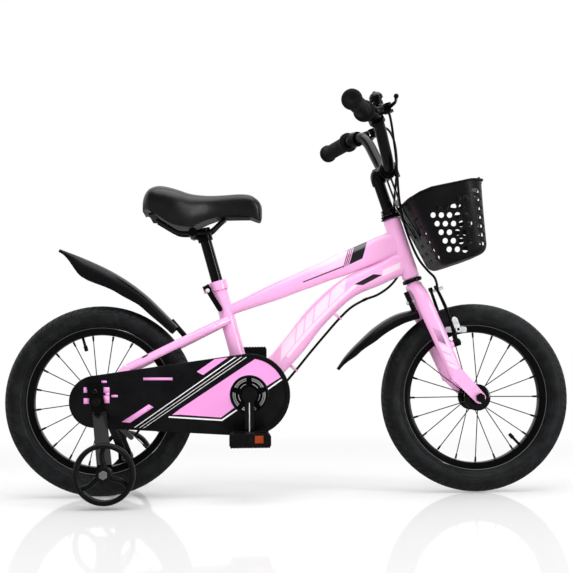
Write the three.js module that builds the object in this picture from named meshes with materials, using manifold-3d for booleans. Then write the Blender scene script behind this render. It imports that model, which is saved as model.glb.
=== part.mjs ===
// A child's fourteen-inch bicycle with training wheels, in millimetres.
// +X points forward, +Y to the rider's left and +Z up.
// The origin is on the ground, midway between the two axles.

import * as THREE from 'three';
import { mergeVertices } from 'three/addons/utils/BufferGeometryUtils.js';
import Module from 'manifold-3d';

const wasm = await Module();
wasm.setup();

// Wheels and where they stand
const wheelbase = 705;
const tyreRadius = 178;
const tyreWidth = 54;
const tyreBeadRadius = 137;
const rimOuterRadius = 136.5;
const rimInnerRadius = 122.5;
const rimWidth = 26;
const rimWall = 3;
const spokeCount = 20;
const spokeRadius = 1.1;
const flangeRadius = 25;
const flangeThickness = 3;
const hubShellRadius = 14;
const valveRadius = 3;
const valveLength = 26;
const rearValveAngle = 106.5;
const frontValveAngle = -46.7;
const rearSpokeAngle = 97.5;
const frontSpokeAngle = 90;
const seatGap = 0.3;
const runningGap = 0.3;
const cutOverrun = 2;

// Steering line, fork and head tube
const steeringTilt = 18;
const forkOffset = 40;
const forkLength = 252;
const headTubeLength = 120;
const headTubeRadius = 16.5;
const headTubeBore = 14;
const steererRadius = 12.4;
const steererBore = 11.4;
const cupRadius = 19;
const cupHeight = 9;
const cupSkirt = 8;
const locknutRadius = 16;
const locknutHeight = 10;
const forkLegHalfWidth = 14.5;
const forkLegHalfThickness = 10.5;
const forkTipHalfWidth = 12.5;
const forkTipHalfThickness = 8;
const forkCrownDrop = 17;
const forkCrownSpread = 10;
const forkShoulderDrop = 50;
const forkShoulderSpread = 37;
const forkLegTopDrop = 78;
const forkLegBottomDrop = 210;
const forkLegSpread = 46;
const forkLegTopForward = 3.5;
const forkLegBottomForward = 15.5;
const frontDropoutInner = 47.5;
const dropoutThickness = 5;
const dropoutHalfWidth = 11;
const dropoutHoleRadius = 3;

// Frame tubes
const crankHeight = 188;
const crankSetBack = 76;
const seatTubeTilt = 15.4;
const seatTubeLength = 220;
const seatTubeRadius = 14.3;
const bracketShellRadius = 19;
const bracketShellHalfWidth = 34;
const bracketShellBore = 15;
const topTubeSeatHeight = 161;
const topTubeHalfHeight = 24;
const topTubeHalfWidth = 12;
const topTubeHeadHalfWidth = 15;
const topTubeHeadDrop = 45;
const downTubeHalfHeight = 21.5;
const downTubeHalfWidth = 17;
const downTubeHeadHalfHeight = 23;
const downTubeHeadRise = 36;
const seatStayRadius = 8;
const seatStayTopRise = 145;
const seatStayTopSpread = 12;
const seatStayBendSpread = 40;
const chainStayRadius = 7;
const chainStayStartSpread = 24;
const chainStayTyreSpread = 40;
const rearDropoutInner = 55;
const dropoutPlateReach = 54;
const dropoutPlateRise = 60;
const stayBridgeRadius = 6;
const stayBridgeBack = 114;
const stayBridgeHeight = 104;
const guardPostRadius = 5;
const guardPostBack = 115;

// Seat post and its clamp
const seatPostRadius = 11;
const seatPostInsertion = 150;
const collarRadius = 17.3;
const collarHeight = 17;
const collarDrop = 16;
const earReach = 30;
const earHalfGap = 2.5;
const earThickness = 7;
const earHalfHeight = 7;
const skewerRadius = 2.6;
const skewerBack = 22;
const skewerDrop = 9;
const skewerNutRadius = 6;
const skewerNutLength = 8;
const leverPivotRadius = 6.5;
const leverLength = 46;
const leverHalfWidth = 5;
const leverThickness = 5.5;
const leverLean = 16;

// Saddle
const saddleLength = 226;
const saddleRearHalfWidth = 80;
const saddleNoseHalfWidth = 27;
const saddleTopHeight = 564;
const saddleNoseForward = 114.3;
const saddleHump = 12;
const saddleSkirtDepth = 74;
const saddleNoseDepth = 48;
const saddleCrown = 7;
const saddleDrawIn = 9;
const baseThickness = 4;
const railRadius = 3.5;
const railSpread = 21;
const railFrontForward = 40.3;
const railFrontLowForward = 12.3;
const railRearLowBack = 40.7;
const railRearBack = 85.7;
const railTopDrop = 47;
const railHeight = 25;
const postTopRise = 9.33;
const saddleClampRadius = 14.5;
const saddleClampBack = 21;
const saddleClampHalfWidth = 33;
const saddleClampBarRadius = 9;

// Crank, pedals and chain
const crankLength = 78;
const spindleRadius = 8;
const spindleHalfLength = 78;
const bracketCupFlange = 3;
const crankArmInner = 66.5;
const crankArmThickness = 10;
const crankArmHalfWidth = 9;
const crankArmTipHalfWidth = 8;
const crankBossRadius = 14;
const chainPitch = 12.7;
const chainringTeeth = 28;
const sprocketTeeth = 16;
const chainLine = 42;
const toothHalfThickness = 1.4;
const toothTip = 2;
const toothRoot = 4;
const chainOuter = 4.6;
const chainWeb = 2;
const chainInner = 4.2;
const chainHalfWidth = 4.4;
const chainPlate = 1;
const chainringWindowCount = 5;
const chainringHubRadius = 20;
const chainringRimWidth = 12;
const chainringArmHalfWidth = 5;
const sprocketHubRadius = 18;
const pedalAxleRadius = 5;
const pedalInner = 82;
const pedalWidth = 76;
const pedalLength = 73;
const pedalHeight = 24;
const pedalWindowWidth = 16;
const pedalWindowLength = 18;

// Chain guard
const guardFace = 62.3;
const guardPlate = 2;
const guardRearRadius = 47.5;
const guardFrontRadius = 75.3;
const guardRimInner = 55.3;
const guardFrontRimInner = 37;
const guardRimWall = 2;
const guardHoleRadius = 32.5;

// Rear axle, hub parts and brake
const axleRadius = 4.8;
const axleHoleRadius = 5.2;
const rearAxleHalfLength = 78;
const nutRadius = 9;
const nutLength = 8;
const coneRadius = 8;
const hubHalfLength = 36;
const flangeOffset = 30;
const drumRadius = 38;
const drumWidth = 11;
const housingRadius = 45;
const housingWall = 3;
const housingLip = 8;
const brakeArmLength = 52;
const brakeArmHalfWidth = 7;
const brakeArmThickness = 3;

// Training wheels
const trainingWheelRadius = 53;
const trainingWheelHalfWidth = 14;
const trainingWheelLift = 6;
const trainingWheelForward = 28;
const trainingWheelReach = 190;
const trainingSpokes = 3;
const trainingRimDepth = 15;
const trainingHubRadius = 14;
const trainingSpokeHalfWidth = 9;
const trainingWebHalfWidth = 6;
const trainingBoltRadius = 5;
const trainingBoltHead = 8;
const bracketFace = 62.6;
const bracketThickness = 3.6;
const bracketHalfWidth = 13;
const bracketRise = 36;
const bracketKneeDrop = 20;
const bracketLegInner = 171;

// Fenders
const fenderHalfWidth = 31;
const rearFenderSkirt = 34;
const frontFenderSkirt = 22;
const fenderWall = 2.4;
const fenderCrown = 7;

// Front brake
const brakePivotDrop = 142;
const brakePivotForward = 29;
const brakeStudRadius = 4;
const brakeArmReach = 112;
const padHalfLength = 21;
const padHalfHeight = 5;
const padThickness = 8;
const padClearance = 2.4;

// Stem and handlebar
const quillRadius = 11.1;
const quillInsertion = 45;
const barForward = 22;
const barRise = 210;
const stemHeadRadius = 13.5;
const stemClampRadius = 17;
const stemClampHalfWidth = 16;
const stemBoltRadius = 5;
const barRadius = 11;
const barHalfWidth = 242;
const barSweep = 62.5;
const barTopRise = 106.5;
const gripRadius = 14.5;
const gripFlangeRadius = 20;
const gripFlange = 5;
const gripEndRadius = 18.5;
const gripOverhang = 3;

// Basket
const basketHeight = 140;
const basketTopWidth = 220;
const basketBottomWidth = 176;
const basketTopRear = 27;
const basketTopFront = 172;
const basketBottomRear = 49;
const basketBottomFront = 141;
const basketWall = 2.6;
const basketBand = 22;
const basketRimProud = 3;
const basketCornerRadius = 18;

// Brake cables, with their routes as hand-placed points
const cableRadius = 2.5;
const cableSides = 6;
const frontCableRoute = [
  [41, -92.1, 306.8], [45, -86, 302], [45, -78, 285], [42, -66, 258], [38, -54, 228],
  [31, -45, 195], [22, -38, 156], [16, -34, 120], [15, -32, 74], [20, -31, 28],
  [28, -38, 2], [33.5, -48, -14], [33.5, -47, -28], [33.5, -36.2, -32],
];
const barCableRoute = [
  [41, 91.9, 307], [52, 85, 309], [64, 74, 302], [67, 60, 275], [58, 48, 235],
  [42, 40, 195], [26, 36, 160], [17, 34, 135], [14, 31, 100], [12, 29, 70],
  [2, 28, 40], [-16, 25, 16], [-40, 18, 0], [-70, 10, -9], [-96, 3, -10],
];
const rearCableRoute = [
  [147.6, 3, 365.8], [121, 0, 351], [98, 0, 330], [72, 2, 301], [42, 6, 266],
  [14, 8, 232], [-14, 9, 200], [-42, 10, 172], [-76, 12, 160], [-112, 20, 162],
  [-150, 34, 170], [-200, 48, 168], [-250, 56, 155], [-280, 61, 128], [-296, 61, 108],
];
const hangerRadius = 3;
const hangerRouteShares = [0.143, 0.357];
const hangerSpineShares = [0.559, 0.216];

// Smaller sizes of the frame
const seatStayBendShare = 0.3;

// Smaller sizes of the wheels, the axles, the band brake and the training wheels
const tyreSteps = 25;
const tyreTreadShare = 0.55;
const tyreShoulderShare = 0.86;
const tyreBeadShare = 0.5;
const tyreSideShare = 0.45;
const rimBedShare = 0.75;
const coneStart = 14.5;
const spacerRadius = 8;
const brakeArmTipRadius = 4.5;
const brakePinRadius = 3.5;
const brakeArmForward = 14;
const brakeArmDrop = 36;
const legLeanShare = 0.22;
const legFootShare = 0.93;
const legMiter = 1.1;
const trainingTreadShare = 0.55;
const trainingShoulderShare = 0.93;
const boltHeadLength = 5;

// Smaller sizes of the drive and the chain guard
const bracketCupInside = 22;
const bossProud = 3;
const crankEyeRadius = 11;
const pedalAxleEnd = 162;
const pedalShoulderRadius = 7.5;
const pedalBevelShare = 0.35;
const pedalRail = 8;
const pedalBarrel = 9;
const chainringSleeveRadius = 14;
const guardFrontRise = 1.5;
const guardRearBack = 4;
const guardRearRise = 4;
const guardDeepBack = 20;
const guardShallowBack = 190;

// Smaller sizes of the seat
const leverGap = 1.5;
const pocketFirst = 2;
const pocketLast = 9;
const pocketWidthShare = 0.84;
const railNoseShare = 0.6;
const railTailShare = 1.25;
const clampCapDepth = 1;

// Smaller sizes of the headset, the fork and the front brake
const locknutShare = 0.35;
const forkShoulderShare = 0.6;
const forkTaperShare = 0.4;
const brakePivotSpread = 44;
const brakeBossRadius = 7;
const armThickness = 9;
const armTopSpread = 30;
const armFootRadius = 8.5;
const armHeadRadius = 5;
const armClampShare = 0.8;
const padForward = 11;
const padRise = 20;
const padLean = -3.5;
const padStudReach = 9;
const padStudRadius = 4;
const frontAxleProud = 3;
const fenderShoulderShare = 0.6;

// Smaller sizes of the fenders, the stem, the grips and the levers
const fenderTabShare = 0.8;
const fenderTabRadius = 5;
const fenderTabDrop = 10;
const gripPlace = 8;
const barSides = 8;
const barSteps = 30;
const gripSetOut = 3;
const gripPlay = 1.4;
const leverPivotForward = 36;
const leverPivotInset = 9;
const leverPivotDrop = 0.2;
const barrelShare = 0.85;
const leverBandHalf = 8;
const leverBandRadius = 15.5;
const leverNeckRadius = 9;
const leverCheek = 9;
const leverSlotReach = 40;
const leverSlotShare = 0.335;
const barrelRadius = 4;
const barrelReach = 14;
const leverBladeHalf = 4;
const leverBow = 9;
const leverReach = 92;
const leverBladeThick = 3;
const leverHubRadius = 6;

// Smaller sizes of the basket, its bracket and the bell
const basketCornerSteps = 2;
const slotsAcross = 5;
const slotsAlong = 3;
const slotWidth = 15;
const slotHeight = 34;
const bracketLoopRadius = 14.5;
const bracketStripSpread = 22;
const bracketStripHalf = 4.5;
const bracketStripThick = 1.2;
const bracketTopForward = 21;
const bracketRimForward = 22.2;
const bracketBandForward = 25.5;
const bracketFootForward = 36.4;
const bracketTieHeight = 12;
const bellPlace = 5;
const bellPlaceShare = 0.571;
const bellAhead = 12.1;
const bellRise = 39.4;
const bellRadius = 13;
const bellDomeHeight = 12;
const bellPostRadius = 5;
const bellEyeRadius = 10;
const bellCollar = 6;
const bellLeverReach = 22;
const bellLeverHalf = 3.5;

const degree = Math.PI / 180;
const turn = 2 * Math.PI;
const up = new THREE.Vector3(0, 0, 1);
const leftward = new THREE.Vector3(0, 1, 0);

const point = (x, y, z) => new THREE.Vector3(x, y, z);

// Solid helpers

function signedVolume(geometry) {
  const position = geometry.attributes.position;
  const index = geometry.index;
  const [a, b, c] = [new THREE.Vector3(), new THREE.Vector3(), new THREE.Vector3()];
  let volume = 0;
  for (let i = 0; i < index.count; i += 3) {
    a.fromBufferAttribute(position, index.getX(i));
    b.fromBufferAttribute(position, index.getX(i + 1));
    c.fromBufferAttribute(position, index.getX(i + 2));
    volume += a.dot(b.cross(c)) / 6;
  }
  return volume;
}

// A closed, merged copy of a geometry as a solid that can be joined and cut
function solidOf(geometry) {
  const bare = geometry.clone();
  for (const name of Object.keys(bare.attributes)) {
    if (name !== 'position') bare.deleteAttribute(name);
  }
  const merged = mergeVertices(bare);
  const triVerts = Uint32Array.from(merged.index.array);
  if (signedVolume(merged) < 0) {
    for (let i = 0; i < triVerts.length; i += 3) {
      [triVerts[i], triVerts[i + 1]] = [triVerts[i + 1], triVerts[i]];
    }
  }
  const vertProperties = Float32Array.from(merged.attributes.position.array);
  return new wasm.Manifold(new wasm.Mesh({ numProp: 3, vertProperties, triVerts }));
}

function geometryOf(solid) {
  const mesh = solid.getMesh();
  const geometry = new THREE.BufferGeometry();
  geometry.setAttribute('position', new THREE.BufferAttribute(mesh.vertProperties, 3));
  geometry.setIndex(new THREE.BufferAttribute(mesh.triVerts, 1));
  geometry.computeVertexNormals();
  return geometry;
}

const join = (...solids) => solids.reduce((whole, next) => whole.add(next));
const cut = (whole, ...tools) => tools.reduce((rest, tool) => rest.subtract(tool), whole);
const moved = (geometry, x, y, z) => geometry.translate(x, y, z);

// A straight round rod, or a cone where the two radii differ
function rod(from, to, radius, sides = 16, endRadius = radius) {
  const along = to.clone().sub(from);
  const geometry = new THREE.CylinderGeometry(endRadius, radius, along.length(), sides);
  const turned = new THREE.Quaternion().setFromUnitVectors(leftward, along.clone().normalize());
  geometry.applyQuaternion(turned);
  const middle = from.clone().add(to).multiplyScalar(1 / 2);
  return solidOf(geometry.translate(middle.x, middle.y, middle.z));
}

// A rod across the bike at one place seen from the side
function crossRod(x, z, fromY, toY, radius, sides = 16) {
  return rod(point(x, fromY, z), point(x, toY, z), radius, sides);
}

// A round tube along a smooth curve through hand-placed points
function bentTube(points, radius, sides, steps) {
  const path = new THREE.CatmullRomCurve3(points, false, 'centripetal');
  return solidOf(new THREE.ExtrudeGeometry(circle(radius, sides), {
    extrudePath: path, steps, bevelEnabled: false,
  }));
}

function circle(radius, sides) {
  const corners = [];
  for (let i = 0; i < sides; i += 1) {
    const angle = (turn * i) / sides;
    corners.push(new THREE.Vector2(radius * Math.cos(angle), radius * Math.sin(angle)));
  }
  return new THREE.Shape(corners);
}

// A solid of revolution about the Y axis; each profile point is a radius and a place along Y
function turned(profile, sides) {
  const points = profile.map(([radius, y]) => new THREE.Vector2(radius, y));
  return solidOf(new THREE.LatheGeometry(points, sides));
}

function ring(innerRadius, outerRadius, fromY, toY, sides = 24) {
  return turned([
    [innerRadius, fromY], [outerRadius, fromY], [outerRadius, toY],
    [innerRadius, toY], [innerRadius, fromY],
  ], sides);
}

// A ring about the Z axis
function uprightRing(innerRadius, outerRadius, fromZ, toZ, sides = 24) {
  const lying = geometryOf(ring(innerRadius, outerRadius, fromZ, toZ, sides));
  return solidOf(lying.rotateX(turn / 4));
}

// A flat plate drawn in the side view (x forward, z up) and given its thickness across the bike
function sidePlate(shape, fromY, toY, curveSegments = 12) {
  const geometry = new THREE.ExtrudeGeometry(shape, {
    depth: toY - fromY, bevelEnabled: false, curveSegments,
  });
  geometry.rotateX(turn / 4);
  return solidOf(geometry.translate(0, toY, 0));
}

// A closed skin over matching rings of points, with a flat cap at each end or joined in a loop
function loft(rings, looped = false) {
  const count = rings[0].length;
  const vertices = rings.flat().flatMap((corner) => [corner.x, corner.y, corner.z]);
  const faces = [];
  const last = looped ? rings.length : rings.length - 1;
  for (let r = 0; r < last; r += 1) {
    const here = r * count;
    const next = ((r + 1) % rings.length) * count;
    for (let i = 0; i < count; i += 1) {
      const j = (i + 1) % count;
      faces.push(here + i, next + i, next + j, here + i, next + j, here + j);
    }
  }
  if (!looped) {
    for (const [r, flip] of [[0, false], [rings.length - 1, true]]) {
      for (const [a, b, c] of capFaces(rings[r])) {
        const base = r * count;
        faces.push(base + a, base + (flip ? c : b), base + (flip ? b : c));
      }
    }
  }
  const geometry = new THREE.BufferGeometry();
  geometry.setAttribute('position', new THREE.Float32BufferAttribute(vertices, 3));
  geometry.setIndex(faces);
  return solidOf(geometry);
}

// Triangles that close one flat ring, wound like the ring itself
function capFaces(corners) {
  const normal = new THREE.Vector3();
  corners.forEach((corner, i) => {
    normal.add(corner.clone().cross(corners[(i + 1) % corners.length]));
  });
  normal.normalize();
  const across = corners[1].clone().sub(corners[0]).normalize();
  const along = normal.clone().cross(across);
  const flat = corners.map((corner) => new THREE.Vector2(corner.dot(across), corner.dot(along)));
  const faces = THREE.ShapeUtils.triangulateShape(flat, []);
  return THREE.ShapeUtils.isClockWise(flat) ? faces.map(([a, b, c]) => [a, c, b]) : faces;
}

// An oval tube along a path in an upright plane; each stop has its own half height and half width
function ovalTube(stops, sides, steps) {
  const path = new THREE.CatmullRomCurve3(stops.map((stop) => stop.at), false, 'centripetal');
  const rings = [];
  for (let s = 0; s <= steps; s += 1) {
    const share = s / steps;
    const place = share * (stops.length - 1);
    const before = stops[Math.min(Math.floor(place), stops.length - 2)];
    const after = stops[Math.min(Math.floor(place), stops.length - 2) + 1];
    const blend = place - stops.indexOf(before);
    const height = THREE.MathUtils.lerp(before.halfHeight, after.halfHeight, blend);
    const width = THREE.MathUtils.lerp(before.halfWidth, after.halfWidth, blend);
    const centre = path.getPoint(share);
    const ahead = path.getTangent(share);
    const side = leftward.clone().addScaledVector(ahead, -ahead.y).normalize();
    const top = ahead.clone().cross(side);
    rings.push(ovalRing(centre, side, top, width, height, sides));
  }
  return loft(rings);
}

function ovalRing(centre, side, top, halfWidth, halfHeight, sides) {
  const corners = [];
  for (let i = 0; i < sides; i += 1) {
    const angle = (turn * i) / sides;
    corners.push(centre.clone()
      .addScaledVector(side, halfWidth * Math.cos(angle))
      .addScaledVector(top, halfHeight * Math.sin(angle)));
  }
  return corners;
}

// The outline of a belt round two circles, the first behind the second
function beltOutline(rear, rearRadius, front, frontRadius, arcSteps) {
  const span = front.clone().sub(rear);
  const heading = span.angle();
  const lean = Math.acos((rearRadius - frontRadius) / span.length());
  const corners = [];
  for (let i = 0; i <= arcSteps; i += 1) {
    const angle = heading - lean + (2 * lean * i) / arcSteps;
    corners.push(onCircle(front, frontRadius, angle));
  }
  for (let i = 0; i <= arcSteps; i += 1) {
    const angle = heading + lean + ((turn - 2 * lean) * i) / arcSteps;
    corners.push(onCircle(rear, rearRadius, angle));
  }
  return corners;
}

function onCircle(centre, radius, angle) {
  return new THREE.Vector2(
    centre.x + radius * Math.cos(angle), centre.y + radius * Math.sin(angle),
  );
}

// A strip with round ends between two places in the side view
function linkShape(from, to, fromRadius, toRadius, arcSteps = 6) {
  return new THREE.Shape(beltOutline(from, fromRadius, to, toRadius, arcSteps));
}

// Groups that carry the pieces

const bike = new THREE.Group();

function carrier(parent, x, y, z, tilt = 0) {
  const group = new THREE.Group();
  group.position.set(x, y, z);
  group.rotation.y = -tilt * degree;
  parent.add(group);
  return group;
}

const paint = {
  pink: [0xf7ade6, 0.32, 0.05],
  black: [0x17171a, 0.5, 0.05],
  rubber: [0x1c1c1e, 0.85, 0],
  leather: [0x1a1a1c, 0.6, 0],
  gloss: [0x0d0d0f, 0.2, 0.1],
  steel: [0x8f9398, 0.4, 0.85],
  silver: [0xb8bbc0, 0.35, 0.8],
  smoke: [0x6f7276, 0.3, 0.1],
};

function addPiece(carrierGroup, name, solid, finish) {
  const [color, roughness, metalness] = paint[finish];
  const material = new THREE.MeshStandardMaterial({ color, roughness, metalness });
  const mesh = new THREE.Mesh(geometryOf(solid), material);
  mesh.name = name;
  carrierGroup.add(mesh);
  return mesh;
}

const rearAxleX = -wheelbase / 2;
const frontAxleX = wheelbase / 2;
const crankX = -crankSetBack;

// The steering group stands at the head tube's lower end with its own Z along the steering line
const steeringLean = steeringTilt * degree;
const steeringX = frontAxleX
  - forkOffset * Math.cos(steeringLean) - forkLength * Math.sin(steeringLean);
const steeringZ = tyreRadius
  - forkOffset * Math.sin(steeringLean) + forkLength * Math.cos(steeringLean);
const steering = carrier(bike, steeringX, 0, steeringZ, steeringTilt);
const frontWheel = carrier(steering, forkOffset, 0, -forkLength, -steeringTilt);
const rearWheel = carrier(bike, rearAxleX, 0, tyreRadius);
const crankGroup = carrier(bike, crankX, 0, crankHeight);
// The seat group stands on the crank axis with its own Z along the seat tube
const seatGroup = carrier(bike, crankX, 0, crankHeight, seatTubeTilt);
bike.updateMatrixWorld(true);

// A place in a group given in the bike's own frame, and the other way round
const inBike = (group, x, y, z) => point(x, y, z).applyMatrix4(group.matrixWorld);
const inGroup = (group, x, y, z) => {
  return point(x, y, z).applyMatrix4(group.matrixWorld.clone().invert());
};
const intoBike = (group, solid) => solidOf(geometryOf(solid).applyMatrix4(group.matrixWorld));

// Frame: welded tubes, with the bores for headset, bottom bracket and seat post

function headTube() {
  const tube = uprightRing(headTubeBore, headTubeRadius, 0, headTubeLength, 16);
  return intoBike(steering, tube);
}

function headTubeCore() {
  const low = point(0, 0, -cutOverrun);
  const high = point(0, 0, headTubeLength + cutOverrun);
  return intoBike(steering, rod(low, high, headTubeBore, 16));
}

function headTubeEnds() {
  const reach = downTubeHeadHalfHeight * 3;
  const below = rod(point(0, 0, -reach), point(0, 0, 0), reach, 12);
  const above = rod(point(0, 0, headTubeLength), point(0, 0, headTubeLength + reach), reach, 12);
  return intoBike(steering, join(below, above));
}

function seatTube() {
  const low = inBike(seatGroup, 0, 0, 0);
  const high = inBike(seatGroup, 0, 0, seatTubeLength);
  return rod(low, high, seatTubeRadius, 12);
}

function seatTubeBore() {
  const low = inBike(seatGroup, 0, 0, bracketShellRadius + runningGap);
  const high = inBike(seatGroup, 0, 0, seatTubeLength + cutOverrun);
  return rod(low, high, seatPostRadius + runningGap, 14);
}

// Shares of the way from the crank to the head tube, measured along and above the straight line
const downTubeWayShares = [0, 0.19, 0.33, 0.49, 0.7, 0.86, 1];
const downTubeBowShares = [0, 0.019, 0.041, 0.073, 0.079, 0.034, 0];
const downTubeHeightShares = [0.86, 0.95, 1, 1, 0.95, 0.97, 1];

function downTubeStops() {
  const start = point(crankX, 0, crankHeight);
  const end = inBike(steering, 0, 0, downTubeHeadRise);
  const span = end.clone().sub(start);
  const rise = leftward.clone().cross(span).negate().normalize();
  const stops = downTubeWayShares.map((share, i) => ({
    at: start.clone().addScaledVector(span, share)
      .addScaledVector(rise, span.length() * downTubeBowShares[i]),
    halfHeight: downTubeHalfHeight * downTubeHeightShares[i],
    halfWidth: downTubeHalfWidth,
  }));
  stops[stops.length - 1].halfHeight = downTubeHeadHalfHeight;
  return stops;
}

const topTubeWayShares = [0, 0.36, 0.54, 0.7, 1];
const topTubeHeightShares = [0.41, 0.7, 0.79, 0.93, 1];

function topTube() {
  const start = inBike(seatGroup, 0, 0, topTubeSeatHeight);
  const end = inBike(steering, 0, 0, headTubeLength - topTubeHeadDrop);
  const stops = topTubeWayShares.map((share, i) => ({
    at: start.clone().lerp(end, share),
    halfHeight: topTubeHalfHeight * topTubeHeightShares[i],
    halfWidth: THREE.MathUtils.lerp(topTubeHalfWidth, topTubeHeadHalfWidth, share),
  }));
  return ovalTube(stops, 10, 5);
}

function seatStay(side) {
  const seat = inBike(seatGroup, 0, side * seatStayTopSpread, seatStayTopRise);
  const endSpread = rearDropoutInner + dropoutThickness - seatStayRadius;
  const dropout = point(rearAxleX + dropoutPlateReach, side * endSpread,
    tyreRadius + dropoutPlateRise);
  const bend = seat.clone().lerp(dropout, seatStayBendShare);
  bend.y = side * seatStayBendSpread;
  return bentTube([seat, bend, dropout], seatStayRadius, 6, 5);
}

const chainStayWayShares = [0, 0.2, 0.42, 1];

function chainStay(side) {
  const start = point(crankX - bracketShellRadius / 2, side * chainStayStartSpread, crankHeight);
  const end = point(rearAxleX + dropoutPlateReach, 0, tyreRadius);
  const spreads = [chainStayStartSpread, chainStayStartSpread + chainStayRadius,
    chainStayTyreSpread, rearDropoutInner + dropoutThickness - chainStayRadius];
  const points = chainStayWayShares.map((share, i) => {
    const place = start.clone().lerp(end, share);
    place.y = side * spreads[i];
    return place;
  });
  return bentTube(points, chainStayRadius, 6, 6);
}

function rearDropout(side) {
  const axle = new THREE.Vector2(rearAxleX, tyreRadius);
  const upper = new THREE.Vector2(rearAxleX + dropoutPlateReach, tyreRadius + dropoutPlateRise);
  const lower = new THREE.Vector2(rearAxleX + dropoutPlateReach, tyreRadius);
  const near = side > 0 ? rearDropoutInner : -rearDropoutInner - dropoutThickness;
  const far = near + dropoutThickness;
  const rising = sidePlate(linkShape(axle, upper, dropoutHalfWidth, seatStayRadius, 4), near, far);
  const level = sidePlate(linkShape(axle, lower, dropoutHalfWidth, chainStayRadius, 4), near, far);
  return join(rising, level);
}

function rearAxleSlot() {
  const reach = rearDropoutInner + dropoutThickness + cutOverrun;
  const seat = new THREE.Vector2(rearAxleX, tyreRadius);
  const mouth = new THREE.Vector2(rearAxleX - 2 * dropoutHalfWidth, tyreRadius);
  return sidePlate(linkShape(mouth, seat, axleHoleRadius, axleHoleRadius, 4), -reach, reach);
}

function stayBridge() {
  const x = crankX - stayBridgeBack;
  const z = crankHeight + stayBridgeHeight;
  return crossRod(x, z, -seatStayBendSpread, seatStayBendSpread, stayBridgeRadius, 8);
}

function guardPost() {
  const x = crankX - guardPostBack;
  const face = guardFace - guardPlate - seatGap;
  return crossRod(x, crankHeight, -face, -chainStayTyreSpread, guardPostRadius, 8);
}

// Hangers under the down tube stop just above the cable that they guide
function cableHanger(cablePlace, spineShare) {
  const places = downTubeStops().map((stop) => stop.at);
  const root = new THREE.CatmullRomCurve3(places, false, 'centripetal').getPoint(spineShare);
  const away = root.clone().sub(cablePlace).setLength(cableRadius + 2 * seatGap);
  return rod(cablePlace.clone().add(away), root, hangerRadius, 6);
}

function frame() {
  const bracketShell = crossRod(crankX, crankHeight, -bracketShellHalfWidth,
    bracketShellHalfWidth, bracketShellRadius, 16);
  const shellBore = crossRod(crankX, crankHeight, -bracketShellHalfWidth - cutOverrun,
    bracketShellHalfWidth + cutOverrun, bracketShellBore, 16);
  let whole = join(seatTube(), ovalTube(downTubeStops(), 10, 9), topTube());
  whole = cut(whole, headTubeEnds()).add(headTube()).add(bracketShell).add(stayBridge());
  for (const side of [-1, 1]) {
    whole = join(whole, seatStay(side), chainStay(side), rearDropout(side));
  }
  whole = whole.add(guardPost());
  hangerRouteShares.forEach((share, i) => {
    const stop = Math.round(share * (rearCableRoute.length - 1));
    whole = whole.add(cableHanger(point(...rearCableRoute[stop]), hangerSpineShares[i]));
  });
  return cut(whole, headTubeCore(), seatTubeBore(), shellBore, rearAxleSlot());
}

addPiece(bike, 'frame', frame(), 'pink');

// Wheels: each has a tyre, a rim with its valve, and a hub with its spokes

// An odd number of steps stands the tyre on a flat of its tread

function tyre() {
  const half = tyreWidth / 2;
  const bead = half * tyreBeadShare;
  const height = tyreRadius - tyreBeadRadius;
  const treadRadius = tyreRadius / Math.cos(turn / (2 * tyreSteps));
  const outline = [
    [tyreBeadRadius + seatGap, -bead],
    [tyreBeadRadius + height * tyreSideShare, -half],
    [tyreBeadRadius + height * tyreShoulderShare, -half * tyreTreadShare * 3 / 2],
    [treadRadius, -half * tyreTreadShare / 3],
    [treadRadius, half * tyreTreadShare / 3],
    [tyreBeadRadius + height * tyreShoulderShare, half * tyreTreadShare * 3 / 2],
    [tyreBeadRadius + height * tyreSideShare, half],
    [tyreBeadRadius + seatGap, bead],
  ];
  outline.push(outline[0]);
  return turned(outline, tyreSteps);
}

function rim(valveAngle) {
  const half = rimWidth / 2;
  const wellRadius = rimOuterRadius - rimWall;
  const hoop = turned([
    [rimInnerRadius, -half * rimBedShare], [wellRadius, -half], [rimOuterRadius, -half],
    [rimOuterRadius, half], [wellRadius, half], [rimInnerRadius, half * rimBedShare],
    [rimInnerRadius, -half * rimBedShare],
  ], tyreSteps);
  const angle = valveAngle * degree;
  const heading = point(Math.cos(angle), 0, Math.sin(angle));
  const valve = rod(heading.clone().multiplyScalar(rimInnerRadius - valveLength),
    heading.clone().multiplyScalar(rimOuterRadius - rimWall), valveRadius, 6);
  return hoop.add(valve);
}

// The spokes run straight in and stop just short of the rim, each in its own flange
function hub(boreRadius, firstSpokeAngle) {
  const rimFlat = rimInnerRadius * Math.cos(turn / (2 * tyreSteps));
  const shell = ring(boreRadius, hubShellRadius, -hubHalfLength, hubHalfLength, 10);
  let whole = shell;
  for (const side of [-1, 1]) {
    const middle = side * flangeOffset;
    const flange = ring(hubShellRadius - flangeThickness, flangeRadius,
      middle - flangeThickness / 2, middle + flangeThickness / 2, 12);
    whole = whole.add(flange);
  }
  for (let i = 0; i < spokeCount; i += 1) {
    const angle = firstSpokeAngle * degree + (turn * i) / spokeCount;
    const heading = point(Math.cos(angle), 0, Math.sin(angle));
    const foot = heading.clone().multiplyScalar(flangeRadius - flangeThickness);
    const nipple = heading.clone().multiplyScalar(rimFlat - seatGap);
    foot.y = (i % 2 === 0 ? -1 : 1) * flangeOffset;
    whole = whole.add(rod(foot, nipple, spokeRadius, 3));
  }
  return whole;
}

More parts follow.
